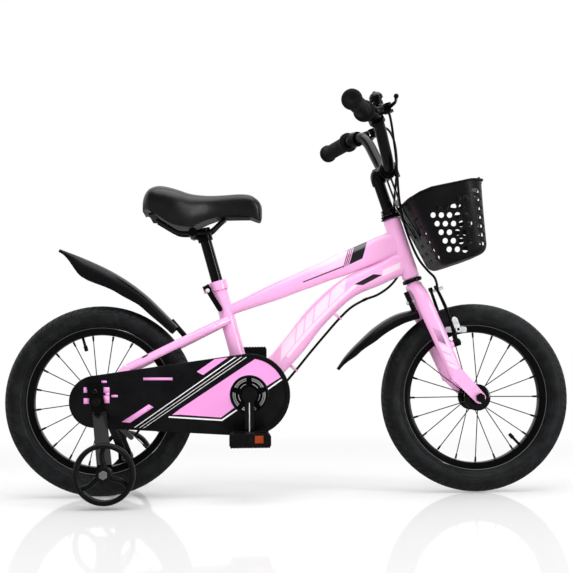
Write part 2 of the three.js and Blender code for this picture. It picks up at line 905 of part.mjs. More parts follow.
addPiece(rearWheel, 'rear_tyre', tyre(), 'rubber');
addPiece(rearWheel, 'rear_rim', rim(rearValveAngle), 'black');
addPiece(rearWheel, 'rear_hub', hub(axleRadius + runningGap, rearSpokeAngle), 'black');
addPiece(frontWheel, 'front_tyre', tyre(), 'rubber');
addPiece(frontWheel, 'front_rim', rim(frontValveAngle), 'black');
addPiece(frontWheel, 'front_hub', hub(axleRadius + runningGap, frontSpokeAngle), 'black');

// Axles, with the cones and nuts that hold the wheel between the dropouts

function axle(halfLength, dropoutInner, seats) {
  const shaft = crossRod(0, 0, -halfLength, halfLength, axleRadius, 8);
  let whole = shaft;
  for (const side of [-1, 1]) {
    const coneFrom = side * (hubHalfLength + seatGap + coneStart);
    const coneTo = side * (dropoutInner - seatGap);
    whole = whole.add(crossRod(0, 0, coneFrom, coneTo, coneRadius, 8));
    for (const [from, length, radius, sides] of seats) {
      whole = whole.add(crossRod(0, 0, side * from, side * (from + length), radius, sides));
    }
  }
  return whole;
}

const nutStart = bracketFace + bracketThickness + seatGap;

addPiece(rearWheel, 'rear_axle', axle(rearAxleHalfLength, rearDropoutInner, [
  [nutStart, nutLength, nutRadius, 6],
]), 'black');

function rearSprocket() {
  const half = sprocketHubRadius / 2;
  const from = -hubHalfLength - seatGap;
  const body = ring(axleRadius + runningGap, sprocketHubRadius,
    -chainLine - 2 * toothHalfThickness, from, 12);
  const plate = toothedPlate(sprocketTeeth, half);
  return body.add(plate);
}

// A toothed plate: each tooth rises between two hollows that take the chain's rollers
function toothedPlate(teeth, boreRadius) {
  const pitchRadius = chainPitch / (2 * Math.sin(turn / (2 * teeth)));
  const corners = [];
  for (let i = 0; i < teeth; i += 1) {
    for (const [share, reach] of toothShares) {
      const angle = turn / 4 + (turn * (i + share)) / teeth;
      const radius = pitchRadius + (reach > 0 ? toothTip * reach : toothRoot * reach);
      corners.push(new THREE.Vector2(radius * Math.cos(angle), radius * Math.sin(angle)));
    }
  }
  const shape = new THREE.Shape(corners);
  const bore = new THREE.Path();
  bore.absarc(0, 0, boreRadius, 0, turn, true);
  shape.holes.push(bore);
  return sidePlate(shape, -chainLine - toothHalfThickness, -chainLine + toothHalfThickness, 6);
}

// Shares of one tooth's pitch, with the height above or below the pitch circle
const toothShares = [[0, 1], [0.5, -1]];

addPiece(rearWheel, 'rear_sprocket', rearSprocket(), 'steel');

// Band brake: the drum turns with the hub inside a housing that the frame holds

function brakeDrum() {
  const from = hubHalfLength + seatGap;
  const drum = ring(axleRadius + runningGap, drumRadius, from, from + drumWidth, 14);
  const hollow = ring(sprocketHubRadius, drumRadius - housingWall, from + housingWall,
    from + drumWidth + cutOverrun, 16);
  return cut(drum, hollow);
}

function brakeHousing() {
  const outside = rearDropoutInner - seatGap;
  const back = outside - housingWall;
  const cup = turned([
    [spacerRadius + housingWall, back], [housingRadius - housingWall, back],
    [housingRadius - housingWall, back - housingLip], [housingRadius, back - housingLip],
    [housingRadius, outside], [spacerRadius + housingWall, outside],
    [spacerRadius + housingWall, back],
  ], 16);
  const clear = crossRod(0, 0, back - cutOverrun, outside + cutOverrun,
    spacerRadius + housingWall, 12);
  const pinHole = crossRod(brakeArmForward, -brakeArmDrop, back - cutOverrun,
    outside + cutOverrun, brakePinRadius + runningGap, 10);
  return cut(cup, clear, pinHole);
}

// The arm swings on a pin in the housing's lower front and is pulled by the cable at its tip
function brakeArm() {
  const reach = brakeArmLength * Math.SQRT1_2;
  const foot = new THREE.Vector2(0, 0);
  const tip = new THREE.Vector2(reach, -reach);
  const inner = rearDropoutInner;
  const outer = inner + brakeArmThickness;
  const plate = sidePlate(linkShape(foot, tip, brakeArmHalfWidth, brakeArmTipRadius, 4),
    inner, outer);
  const pin = crossRod(0, 0, inner - housingWall, outer, brakePinRadius, 10);
  const anchor = crossRod(reach, -reach, inner, outer + brakeArmTipRadius,
    brakeArmTipRadius, 8);
  return join(plate, pin, anchor);
}

const brakeArmPivot = carrier(rearWheel, brakeArmForward, 0, -brakeArmDrop);

addPiece(rearWheel, 'rear_brake_drum', brakeDrum(), 'silver');
addPiece(rearWheel, 'rear_brake_housing', brakeHousing(), 'steel');
addPiece(brakeArmPivot, 'rear_brake_arm', brakeArm(), 'steel');

// Training wheels on bent steel legs

function trainingLeg(side) {
  const wheelX = trainingWheelForward;
  const wheelZ = trainingWheelRadius + trainingWheelLift - tyreRadius;
  const outer = bracketFace + bracketThickness / 2;
  const foot = bracketLegInner + bracketThickness / 2;
  const stops = [
    [-bracketRise * legLeanShare, outer, bracketRise],
    [bracketKneeDrop * legLeanShare, outer, -bracketKneeDrop],
    [wheelX * legFootShare, foot, wheelZ + bracketHalfWidth],
    [wheelX, foot, wheelZ - bracketHalfWidth],
  ];
  const rings = stops.map(([x, y, z], i) => {
    const before = stops[Math.max(i - 1, 0)];
    const after = stops[Math.min(i + 1, stops.length - 1)];
    const slope = point(0, after[1] - before[1], after[2] - before[2]).normalize();
    const across = point(0, -slope.z, slope.y).multiplyScalar(bracketThickness / 2);
    const miter = i === 0 || i === stops.length - 1 ? 1 : legMiter;
    across.multiplyScalar(miter);
    return [[1, 1], [1, -1], [-1, -1], [-1, 1]].map(([wide, thick]) => point(
      x + wide * bracketHalfWidth, side * (y + thick * across.y), z + thick * across.z,
    ));
  });
  const leg = loft(rings);
  const hole = crossRod(0, 0, side * (bracketFace - cutOverrun),
    side * (bracketFace + bracketThickness + cutOverrun), axleHoleRadius, 12);
  const footHole = crossRod(wheelX, wheelZ, side * (bracketLegInner - 3 * cutOverrun),
    side * (foot + 3 * cutOverrun), trainingBoltRadius + seatGap, 12);
  return cut(leg, hole, footHole);
}

function trainingWheel(side) {
  const inner = trainingWheelReach - trainingWheelHalfWidth;
  const outer = trainingWheelReach + trainingWheelHalfWidth;
  const tread = trainingWheelHalfWidth * trainingTreadShare;
  const rimInside = trainingWheelRadius - trainingRimDepth;
  const middle = side * trainingWheelReach;
  const tyreRing = turned([
    [rimInside, -trainingWheelHalfWidth], [trainingWheelRadius * trainingShoulderShare,
      -trainingWheelHalfWidth],
    [trainingWheelRadius, -tread], [trainingWheelRadius, tread],
    [trainingWheelRadius * trainingShoulderShare, trainingWheelHalfWidth],
    [rimInside, trainingWheelHalfWidth], [rimInside, -trainingWheelHalfWidth],
  ], 18);
  const ringAtWheel = solidOf(moved(geometryOf(tyreRing), 0, middle, 0));
  let whole = ringAtWheel.add(crossRod(0, 0, side * inner, side * outer, trainingHubRadius, 10));
  for (let i = 0; i < trainingSpokes; i += 1) {
    const angle = turn / 4 + (turn * i) / trainingSpokes;
    const tip = new THREE.Vector2(Math.cos(angle), Math.sin(angle))
      .multiplyScalar(rimInside + trainingRimDepth / 4);
    const arm = linkShape(new THREE.Vector2(0, 0), tip, trainingSpokeHalfWidth,
      trainingSpokeHalfWidth, 3);
    whole = whole.add(sidePlate(arm, middle - trainingWebHalfWidth,
      middle + trainingWebHalfWidth));
  }
  const bore = crossRod(0, 0, side * (inner - cutOverrun), side * (outer + cutOverrun),
    trainingBoltRadius + runningGap, 10);
  return cut(whole, bore);
}

function trainingBolt(side) {
  const start = bracketLegInner - seatGap;
  const head = trainingWheelReach + trainingWheelHalfWidth + seatGap;
  const shaft = crossRod(0, 0, side * start, side * (head + boltHeadLength),
    trainingBoltRadius, 9);
  const hexagon = crossRod(0, 0, side * head, side * (head + boltHeadLength),
    trainingBoltHead, 6);
  const nut = crossRod(0, 0, side * (start - boltHeadLength), side * start,
    trainingBoltHead, 6);
  return join(shaft, hexagon, nut);
}

for (const [side, word] of [[-1, 'right'], [1, 'left']]) {
  addPiece(rearWheel, `training_bracket_${word}`, trainingLeg(side), 'black');
  const wheelZ = trainingWheelRadius + trainingWheelLift;
  const hubGroup = carrier(bike, rearAxleX + trainingWheelForward, 0, wheelZ);
  addPiece(hubGroup, `training_wheel_${word}`, trainingWheel(side), 'black');
  addPiece(hubGroup, `training_bolt_${word}`, trainingBolt(side), 'steel');
}

// Bottom bracket, cranks, pedals, chainring, chain and guard

function bracketCup(side) {
  const inside = side * bracketCupInside;
  const outside = side * (bracketShellHalfWidth + seatGap + bracketCupFlange);
  const face = side * (bracketShellHalfWidth + seatGap);
  const sleeve = crossRod(0, 0, inside, face + side * bracketCupFlange,
    bracketShellBore - seatGap, 14);
  const flange = crossRod(0, 0, face, outside, bracketShellRadius - seatGap, 14);
  const bore = crossRod(0, 0, -bracketShellHalfWidth * 2, bracketShellHalfWidth * 2,
    spindleRadius + runningGap, 14);
  return cut(sleeve.add(flange), bore);
}

function spindle() {
  return crossRod(0, 0, -spindleHalfLength, spindleHalfLength, spindleRadius, 16);
}

function crankArm(side) {
  const boss = new THREE.Vector2(0, 0);
  const tip = new THREE.Vector2(0, side * crankLength);
  const inner = side > 0 ? crankArmInner : -crankArmInner - crankArmThickness;
  const arm = sidePlate(linkShape(boss, tip, crankArmHalfWidth, crankArmTipHalfWidth),
    inner, inner + crankArmThickness);
  const thick = crossRod(0, 0, side * (crankArmInner - bossProud),
    side * (crankArmInner + crankArmThickness + bossProud), crankBossRadius, 12);
  const eye = crossRod(0, side * crankLength, inner, inner + crankArmThickness,
    crankEyeRadius, 10);
  const socket = crossRod(0, 0, side * crankArmInner / 2, side * (spindleHalfLength + seatGap),
    spindleRadius + 2 * seatGap, 12);
  const shaft = crossRod(0, side * crankLength, side * crankArmInner, side * pedalAxleEnd,
    pedalAxleRadius, 10);
  const shoulder = crossRod(0, side * crankLength, side * crankArmInner,
    side * (pedalInner - seatGap), pedalShoulderRadius, 10);
  return cut(join(arm, thick, eye, shaft, shoulder), socket);
}

function pedalBody(side) {
  const outer = pedalInner + pedalWidth;
  const half = pedalLength / 2;
  const top = pedalHeight / 2;
  const shape = new THREE.Shape();
  const bevel = top * pedalBevelShare;
  shape.moveTo(-half + bevel, -top);
  shape.lineTo(half - bevel, -top);
  shape.lineTo(half, -top + bevel);
  shape.lineTo(half, top - bevel);
  shape.lineTo(half - bevel, top);
  shape.lineTo(-half + bevel, top);
  shape.lineTo(-half, top - bevel);
  shape.lineTo(-half, -top + bevel);
  const from = Math.min(side * pedalInner, side * outer);
  let whole = sidePlate(shape, from, from + pedalWidth);
  const openLength = half - pedalRail - pedalBarrel;
  for (const end of [-1, 1]) {
    const x = end * (pedalBarrel + openLength / 2);
    const window = new THREE.BoxGeometry(openLength, pedalWidth - 2 * pedalRail,
      pedalHeight + 2 * cutOverrun);
    const middle = side * (pedalInner + pedalWidth / 2);
    whole = cut(whole, solidOf(moved(window, x, middle, 0)));
  }
  const bore = crossRod(0, 0, side * (pedalInner - cutOverrun), side * (outer + cutOverrun),
    pedalAxleRadius + runningGap, 12);
  return cut(whole, bore);
}

function chainring() {
  const pitchRadius = chainPitch / (2 * Math.sin(turn / (2 * chainringTeeth)));
  const windowOuter = pitchRadius - chainringRimWidth;
  let plate = toothedPlate(chainringTeeth, spindleRadius + seatGap);
  const step = turn / chainringWindowCount;
  for (let i = 0; i < chainringWindowCount; i += 1) {
    const middle = turn / 4 + step * (i + 1 / 2);
    const outerHalf = step / 2 - chainringArmHalfWidth / windowOuter;
    const innerHalf = step / 2 - chainringArmHalfWidth / chainringHubRadius;
    const window = new THREE.Shape();
    window.absarc(0, 0, windowOuter, middle - outerHalf, middle + outerHalf, false);
    window.absarc(0, 0, chainringHubRadius, middle + innerHalf, middle - innerHalf, true);
    plate = cut(plate, sidePlate(window, -chainLine - chainHalfWidth,
      -chainLine + chainHalfWidth, 3));
  }
  const hubFrom = -crankArmInner + bossProud + seatGap;
  const hubTo = -bracketShellHalfWidth - bracketCupFlange - 2 * seatGap - runningGap;
  const sleeve = ring(spindleRadius + seatGap, chainringSleeveRadius, hubFrom, hubTo, 12);
  return plate.add(sleeve);
}

// The chain runs as one loop of channel section round both toothed rings
function chain() {
  const front = new THREE.Vector2(crankX, crankHeight);
  const rear = new THREE.Vector2(rearAxleX, tyreRadius);
  const frontPitch = chainPitch / (2 * Math.sin(turn / (2 * chainringTeeth)));
  const rearPitch = chainPitch / (2 * Math.sin(turn / (2 * sprocketTeeth)));
  const paths = [chainOuter, chainOuter - chainWeb, -chainInner].map((offset) => {
    return beltOutline(rear, rearPitch + offset, front, frontPitch + offset, 12);
  });
  const [outer, web, inner] = paths;
  const rings = outer.map((corner, i) => {
    const channel = [
      [outer[i], -chainHalfWidth], [outer[i], chainHalfWidth], [inner[i], chainHalfWidth],
      [inner[i], chainHalfWidth - chainPlate], [web[i], chainHalfWidth - chainPlate],
      [web[i], -chainHalfWidth + chainPlate], [inner[i], -chainHalfWidth + chainPlate],
      [inner[i], -chainHalfWidth],
    ];
    return channel.map(([place, across]) => point(place.x, -chainLine + across, place.y));
  });
  return loft(rings, true);
}

// The guard is a plate with a rim turned in towards the wheel, deeper round the chainring
function chainGuard() {
  const front = new THREE.Vector2(crankX, crankHeight + guardFrontRise);
  const rear = new THREE.Vector2(rearAxleX - guardRearBack, tyreRadius + guardRearRise);
  const outline = (inset) => new THREE.Shape(
    beltOutline(rear, guardRearRadius - inset, front, guardFrontRadius - inset, 10),
  );
  const back = -guardFace + guardPlate;
  const rim = (inner, from) => {
    const wall = sidePlate(outline(0), -guardFace, -inner);
    const hollow = sidePlate(outline(guardRimWall), -guardFace - cutOverrun, -inner + cutOverrun);
    return cut(wall, hollow).intersect(inFrontOf(from));
  };
  const plate = sidePlate(outline(0), -guardFace, back);
  const hole = crossRod(crankX, crankHeight, -guardFace - cutOverrun, -guardRimInner,
    guardHoleRadius, 16);
  const axleHole = crossRod(rearAxleX, tyreRadius, -guardFace - cutOverrun, -guardRimInner,
    axleHoleRadius, 12);
  const shallow = rim(guardRimInner, crankX - guardShallowBack);
  const deep = rim(guardFrontRimInner, crankX - guardDeepBack);
  return cut(join(plate, shallow, deep), hole, axleHole);
}

// The room ahead of one place, over the whole chain guard
function inFrontOf(x) {
  const far = crankX + 2 * guardFrontRadius;
  const room = new THREE.BoxGeometry(far - x, 2 * guardFace + cutOverrun, 2 * crankHeight);
  return solidOf(moved(room, (far + x) / 2, 0, crankHeight));
}

addPiece(crankGroup, 'bracket_cup_right', bracketCup(-1), 'steel');
addPiece(crankGroup, 'bracket_cup_left', bracketCup(1), 'steel');
addPiece(crankGroup, 'crank_spindle', spindle(), 'steel');
addPiece(crankGroup, 'chainring', chainring(), 'silver');
addPiece(bike, 'chain', chain(), 'steel');
addPiece(bike, 'chain_guard', chainGuard(), 'black');
for (const [side, word] of [[-1, 'right'], [1, 'left']]) {
  addPiece(crankGroup, `crank_${word}`, crankArm(side), 'steel');
  const pedalGroup = carrier(crankGroup, 0, 0, side * crankLength);
  addPiece(pedalGroup, `pedal_${word}`, pedalBody(side), 'black');
}

// Seat post, its quick-release clamp, and the saddle

function seatCollar() {
  const middleZ = seatTubeLength - collarDrop / 2 + seatGap;
  const low = middleZ - collarHeight / 2;
  const high = middleZ + collarHeight / 2;
  const band = rod(point(0, 0, low), point(0, 0, high), collarRadius, 20);
  const earWidth = 2 * (earHalfGap + earThickness);
  const ear = new THREE.BoxGeometry(earReach, earWidth, 2 * earHalfHeight);
  const earSolid = solidOf(moved(ear, -earReach / 2, 0, middleZ));
  const split = new THREE.BoxGeometry(earReach + cutOverrun, 2 * earHalfGap,
    collarHeight + 2 * cutOverrun);
  const splitSolid = solidOf(moved(split, -(earReach + cutOverrun) / 2, 0, middleZ));
  const bore = rod(point(0, 0, low - cutOverrun), point(0, 0, high + cutOverrun),
    seatTubeRadius + seatGap, 18);
  const hole = crossRod(-skewerBack, middleZ, -earWidth, earWidth, skewerRadius + seatGap, 10);
  return cut(band.add(earSolid), bore, splitSolid, hole);
}

const skewerZ = seatTubeLength - collarDrop / 2 + seatGap;
const earOuter = earHalfGap + earThickness;

function releaseSkewer() {
  const shaft = crossRod(0, 0, -earOuter - leverGap, earOuter + seatGap + skewerNutLength,
    skewerRadius, 10);
  const nut = crossRod(0, 0, earOuter + seatGap, earOuter + seatGap + skewerNutLength,
    skewerNutRadius, 8);
  return shaft.add(nut);
}

// The lever's cam eye sits on the skewer's end and its blade hangs down along the seat tube
function releaseLever() {
  const eye = solidOf(moved(new THREE.CylinderGeometry(leverPivotRadius, leverPivotRadius,
    2 * leverPivotRadius, 12).rotateZ(turn / 4), 0, 0, 0));
  const blade = new THREE.BoxGeometry(2 * leverHalfWidth, leverThickness, leverLength);
  const bladeSolid = solidOf(moved(blade, 0, -leverPivotRadius + leverThickness / 2,
    -leverLength / 2));
  const tip = solidOf(moved(new THREE.CylinderGeometry(leverHalfWidth, leverHalfWidth,
    leverThickness, 12), 0, -leverPivotRadius + leverThickness / 2, -leverLength));
  const pocket = crossRod(0, 0, 0, leverPivotRadius + cutOverrun, skewerRadius + runningGap, 10);
  return cut(join(eye, bladeSolid, tip), pocket);
}

// The rails hang below the saddle, and the post ends just above them
const railTopHeight = saddleTopHeight - railTopDrop;
const railLow = railTopHeight - railHeight;
const seatPostTop = (railLow + postTopRise - crankHeight) / Math.cos(seatTubeTilt * degree);

// The saddle and its rails keep their place along the bike against the post's top
const postTopX = inBike(seatGroup, 0, 0, seatPostTop).x;
const saddleNoseX = postTopX + saddleNoseForward;
const railFrontX = postTopX + railFrontForward;
const railFrontLowX = postTopX + railFrontLowForward;
const railRearLowX = postTopX - railRearLowBack;
const railRearX = postTopX - railRearBack;

function seatPost() {
  const low = seatTubeLength - seatPostInsertion;
  return rod(point(0, 0, low), point(0, 0, seatPostTop), seatPostRadius, 18);
}

addPiece(seatGroup, 'seat_clamp', seatCollar(), 'pink');
const skewerGroup = carrier(seatGroup, -skewerBack, 0, skewerZ);
addPiece(skewerGroup, 'release_skewer', releaseSkewer(), 'steel');
const releaseGroup = carrier(skewerGroup, 0, -earOuter - leverGap - leverPivotRadius, 0,
  leverLean);
addPiece(releaseGroup, 'release_lever', releaseLever(), 'black');
addPiece(seatGroup, 'seat_post', seatPost(), 'gloss');

// The saddle's plan and profile, as shares of its length from the tail to the nose
const saddleWayShares = [0, 0.015, 0.06, 0.14, 0.26, 0.4, 0.54, 0.68, 0.8, 0.9, 0.965, 0.993, 1];
const saddlePlanShares = [0.5, 0.72, 0.92, 1, 0.97, 0.8, 0.58, 0.44, 0.38, 0.355, 0.3, 0.2, 0.08];
const saddleTopShares = [-2.1, -0.5, 0.55, 1, 0.75, 0.1, 0, 0.12, 0.25, 0.1, -0.65, -1.4, -2];
const saddleDepthShares = [0.25, 0.47, 0.7, 0.86, 0.98, 1, 0.78, 0.68, 0.66, 0.64, 0.6, 0.52, 0.3];
// Around one section from the top's middle: how far out and how far down each point lies
const saddleOutShares = [0, 0.34, 0.64, 0.86, 0.97, 1, 0.95, 0.86];
const saddleDownShares = [0, 0.015, 0.06, 0.16, 0.32, 0.52, 0.78, 1];

function saddle() {
  const rings = saddleWayShares.map((share, i) => {
    const x = saddleNoseX - saddleLength * (1 - share);
    const half = saddleRearHalfWidth * saddlePlanShares[i];
    const top = saddleTopHeight + saddleHump * saddleTopShares[i];
    const depth = saddleDepthAt(i);
    const side = saddleOutShares.map((out, j) => point(
      x, half * out, top - depth * saddleDownShares[j],
    ));
    const other = side.slice(1).reverse().map((place) => point(place.x, -place.y, place.z));
    return [...side, ...other];
  });
  return cut(loft(rings), saddlePlan(0, saddleRoof - 2 * saddleSkirtDepth, saddleRoof));
}

const saddleRoof = railTopHeight + railRadius + seatGap + baseThickness + seatGap;

// An upright block with the plan of the hollow under the cushion
function saddlePlan(inset, fromZ, toZ) {
  const half = [];
  for (let i = pocketFirst; i <= pocketLast; i += 1) {
    const x = saddleNoseX - saddleLength * (1 - saddleWayShares[i]);
    const trim = i === pocketFirst ? inset : i === pocketLast ? -inset : 0;
    const reach = saddleRearHalfWidth * saddlePlanShares[i] * pocketWidthShare - 2 * inset;
    half.push(new THREE.Vector2(x + trim, reach));
  }
  const mirrored = half.slice().reverse().map((place) => new THREE.Vector2(place.x, -place.y));
  const shape = new THREE.Shape([...half, ...mirrored]);
  const block = new THREE.ExtrudeGeometry(shape, { depth: toZ - fromZ, bevelEnabled: false });
  return solidOf(moved(block, 0, 0, fromZ));
}

function saddleBase() {
  return saddlePlan(seatGap, saddleRoof - seatGap - baseThickness, saddleRoof - seatGap);
}

function saddleDepthAt(i) {
  const wide = saddlePlanShares[i];
  const depth = THREE.MathUtils.lerp(saddleNoseDepth, saddleSkirtDepth, wide * wide);
  return depth * saddleDepthShares[i];
}

addPiece(bike, 'saddle', saddle(), 'leather');
addPiece(bike, 'saddle_base', saddleBase(), 'black');

// Two rails of one bent wire, held under the saddle and gripped by the clamp
function saddleRails() {
  const corners = (y) => [
    point(railFrontX, y * railNoseShare, railTopHeight),
    point(railFrontLowX, y, railLow),
    point(railRearLowX, y, railLow),
    point(railRearX, y * railTailShare, railTopHeight),
  ];
  const bow = rod(corners(-railSpread)[0], corners(railSpread)[0], railRadius, 6);
  let whole = bow;
  for (const y of [-railSpread, railSpread]) {
    const places = corners(y);
    for (let i = 1; i < places.length; i += 1) {
      whole = whole.add(rod(places[i - 1], places[i], railRadius, 6));
    }
  }
  return whole;
}

function saddleClamp() {
  const postTop = inBike(seatGroup, 0, 0, seatPostTop);
  const axis = inBike(seatGroup, 0, 0, 0).sub(postTop).normalize();
  const hub = postTop.clone().addScaledVector(axis, saddleClampRadius);
  const collar = rod(hub.clone().addScaledVector(axis, saddleClampRadius * 2 / 3),
    hub.clone().addScaledVector(axis, -saddleClampRadius), saddleClampRadius, 12);
  const bar = crossRod(hub.x - saddleClampBack, railLow, -saddleClampHalfWidth,
    saddleClampHalfWidth, saddleClampBarRadius, 8);
  const link = sidePlate(linkShape(new THREE.Vector2(hub.x - saddleClampBack, railLow),
    new THREE.Vector2(hub.x, hub.z), saddleClampBarRadius, saddleClampBarRadius),
  -saddleClampBarRadius, saddleClampBarRadius, 5);
  const bore = rod(hub.clone().addScaledVector(axis, saddleClampRadius * 2),
    postTop.clone().addScaledVector(axis, -clampCapDepth), seatPostRadius + seatGap, 18);
  let whole = cut(join(collar, bar, link), bore);
  for (const y of [-railSpread, railSpread]) {
    const groove = rod(point(railFrontLowX, y, railLow), point(railRearLowX, y, railLow),
      railRadius + 2 * seatGap, 6);
    whole = cut(whole, groove);
  }
  return whole;
}

addPiece(bike, 'saddle_rails', saddleRails(), 'black');
addPiece(bike, 'saddle_clamp', saddleClamp(), 'black');

// Headset, fork and front brake, drawn in the steering group's frame

// One ring of L section: a flange outside the head tube and a skirt inside it
function headsetCup(face, away) {
  const bore = steererRadius + runningGap;
  const skirt = headTubeBore - seatGap;
  const near = face + away * seatGap;
  const far = near + away * cupHeight;
  const inside = face - away * cupSkirt;
  const cup = turned([[bore, inside], [skirt, inside], [skirt, near], [cupRadius, near],
    [cupRadius, far], [bore, far], [bore, inside]], 16);
  return solidOf(geometryOf(cup).rotateX(turn / 4));
}

const locknutBase = headTubeLength + cupHeight + 2 * seatGap;

function locknut() {
  const top = locknutBase + locknutHeight;
  const collar = rod(point(0, 0, locknutBase), point(0, 0, locknutBase
    + locknutHeight * locknutShare), locknutRadius, 20);
  const hexagon = rod(point(0, 0, locknutBase), point(0, 0, top), locknutRadius, 6);
  const bore = rod(point(0, 0, locknutBase - cutOverrun), point(0, 0, top + cutOverrun),
    steererRadius + seatGap, 18);
  return cut(collar.add(hexagon), bore);
}

function forkLeg(side) {
  const places = [
    [0, -forkCrownDrop, side * forkCrownSpread],
    [forkLegTopForward * forkShoulderShare, -forkShoulderDrop, side * forkShoulderSpread],
    [forkLegTopForward, -forkLegTopDrop, side * forkLegSpread],
    [(forkLegTopForward + forkLegBottomForward) / 2, -(forkLegTopDrop + forkLegBottomDrop) / 2,
      side * forkLegSpread],
    [forkLegBottomForward, -forkLegBottomDrop, side * forkLegSpread],
  ];
  const path = new THREE.CatmullRomCurve3(
    places.map(([x, z, y]) => point(x, y, z)), false, 'centripetal',
  );
  const rings = [];
  const steps = 7;
  for (let s = 0; s <= steps; s += 1) {
    const share = s / steps;
    const thin = THREE.MathUtils.smoothstep(share, forkTaperShare, 1);
    const centre = path.getPointAt(share);
    const down = path.getTangentAt(share);
    const ahead = point(1, 0, 0).addScaledVector(down, -down.x).normalize();
    const across = down.clone().cross(ahead);
    rings.push(ovalRing(centre, ahead, across,
      THREE.MathUtils.lerp(forkLegHalfWidth, forkTipHalfWidth, thin),
      THREE.MathUtils.lerp(forkLegHalfThickness, forkTipHalfThickness, thin), 8));
  }
  return loft(rings);
}

function frontDropout(side) {
  const hub = new THREE.Vector2(forkOffset, -forkLength);
  const heel = new THREE.Vector2(forkLegBottomForward, -forkLegBottomDrop + dropoutHalfWidth);
  const near = side > 0 ? frontDropoutInner : -frontDropoutInner - dropoutThickness;
  const far = near + dropoutThickness;
  const plate = sidePlate(linkShape(heel, hub, forkTipHalfWidth, dropoutHalfWidth), near, far);
  let whole = plate;
  for (const share of dropoutHoleShares) {
    const place = heel.clone().lerp(hub, share);
    whole = cut(whole, crossRod(place.x, place.y, near - cutOverrun, far + cutOverrun,
      dropoutHoleRadius, 6));
  }
  const reach = hub.clone().add(hub.clone().sub(heel).setLength(2 * dropoutHalfWidth));
  const slot = sidePlate(linkShape(reach, hub, axleHoleRadius, axleHoleRadius, 4),
    near - cutOverrun, far + cutOverrun);
  return cut(whole, slot);
}

const dropoutHoleShares = [0.5, 0.68];

function fork() {
  const steerer = rod(point(0, 0, -forkCrownDrop), point(0, 0, locknutBase + locknutHeight),
    steererRadius, 14);
  const crown = rod(point(0, 0, -forkCrownDrop - forkCrownSpread), point(0, 0, -crownTop),
    cupRadius - seatGap, 14);
  const bore = rod(point(0, 0, quillFoot - cutOverrun),
    point(0, 0, locknutBase + locknutHeight + cutOverrun), steererBore, 14);
  let whole = crown.add(steerer);
  for (const side of [-1, 1]) {
    const legFront = brakeStudRadius;
    const stud = rod(point(forkLegTopForward, side * brakePivotSpread, -brakePivotDrop),
      point(brakePivotForward + armThickness + legFront, side * brakePivotSpread,
        -brakePivotDrop), brakeStudRadius, 8);
    const boss = rod(point(forkLegTopForward, side * brakePivotSpread, -brakePivotDrop),
      point(brakePivotForward - seatGap, side * brakePivotSpread, -brakePivotDrop),
      brakeBossRadius, 9);
    whole = join(whole, forkLeg(side), frontDropout(side), boss, stud);
  }
  return cut(whole, bore);
}

const crownTop = cupHeight + 2 * seatGap;
const quillFoot = headTubeLength - quillInsertion;

addPiece(steering, 'headset_cup_lower', headsetCup(0, -1), 'black');
addPiece(steering, 'headset_cup_upper', headsetCup(headTubeLength, 1), 'black');
addPiece(steering, 'headset_locknut', locknut(), 'gloss');
addPiece(steering, 'fork', fork(), 'pink');

// Linear-pull brake arm with its pad; the group stands on the arm's pivot
function frontBrakeArm(side) {
  const topIn = -side * (brakePivotSpread - armTopSpread);
  const pivotSlope = point(0, topIn, brakeArmReach);
  const pivotEnd = point(0, 0, 0);
  const half = armThickness / 2;
  const middleX = brakePivotForward + half;
  const foot = new THREE.Vector2(0, 0);
  const head = new THREE.Vector2(pivotSlope.y, pivotSlope.z);
  const blade = new THREE.ExtrudeGeometry(linkShape(foot, head, armFootRadius, armHeadRadius, 3), {
    depth: armThickness, bevelEnabled: false,
  });
  // The drawing's x and y become the bike's y and z
  const stand = new THREE.Matrix4().makeBasis(leftward, up, point(1, 0, 0));
  const arm = solidOf(blade.applyMatrix4(stand).translate(brakePivotForward, 0, 0));
  const rimY = side * (rimWidth / 2 + padClearance + padThickness / 2) - side * brakePivotSpread;
  const padZ = padRise;
  const pad = new THREE.BoxGeometry(2 * padHalfLength, padThickness, 2 * padHalfHeight);
  pad.rotateY(padLean * degree);
  const padSolid = solidOf(pad.translate(middleX + padForward, rimY, padZ));
  const stud = rod(point(middleX, rimY, padZ), point(middleX, side * padStudReach, padZ),
    padStudRadius, 8);
  const hole = rod(point(brakePivotForward - cutOverrun, pivotEnd.y, 0),
    point(brakePivotForward + armThickness + cutOverrun, pivotEnd.y, 0),
    brakeStudRadius + runningGap, 10);
  const clampAt = foot.clone().lerp(head, armClampShare);
  const anchor = rod(point(brakePivotForward, clampAt.x, clampAt.y),
    point(brakePivotForward + armThickness + armHeadRadius, clampAt.x, clampAt.y),
    armHeadRadius, 8);
  return cut(join(arm, padSolid, stud, anchor), hole);
}

for (const [side, word] of [[-1, 'right'], [1, 'left']]) {
  const armGroup = carrier(steering, 0, side * brakePivotSpread, -brakePivotDrop);
  addPiece(armGroup, `front_brake_arm_${word}`, frontBrakeArm(side), 'black');
}

const frontAxleSeats = [
  [frontDropoutInner + dropoutThickness + seatGap, nutLength, nutRadius, 6],
];
const frontAxleHalf = frontDropoutInner + dropoutThickness + nutLength + frontAxleProud;

function frontAxle() {
  const shaft = crossRod(0, 0, -frontAxleHalf, frontAxleHalf, axleRadius, 8);
  let whole = shaft;
  for (const side of [-1, 1]) {
    whole = whole.add(crossRod(0, 0, side * (hubHalfLength + seatGap),
      side * (frontDropoutInner - seatGap), coneRadius, 8));
    for (const [from, length, radius, sides] of frontAxleSeats) {
      whole = whole.add(crossRod(0, 0, side * from, side * (from + length), radius, sides));
    }
  }
  return whole;
}

addPiece(frontWheel, 'front_axle', frontAxle(), 'black');

// Fenders: an arched strip that follows its own curve, with a tab to its mount

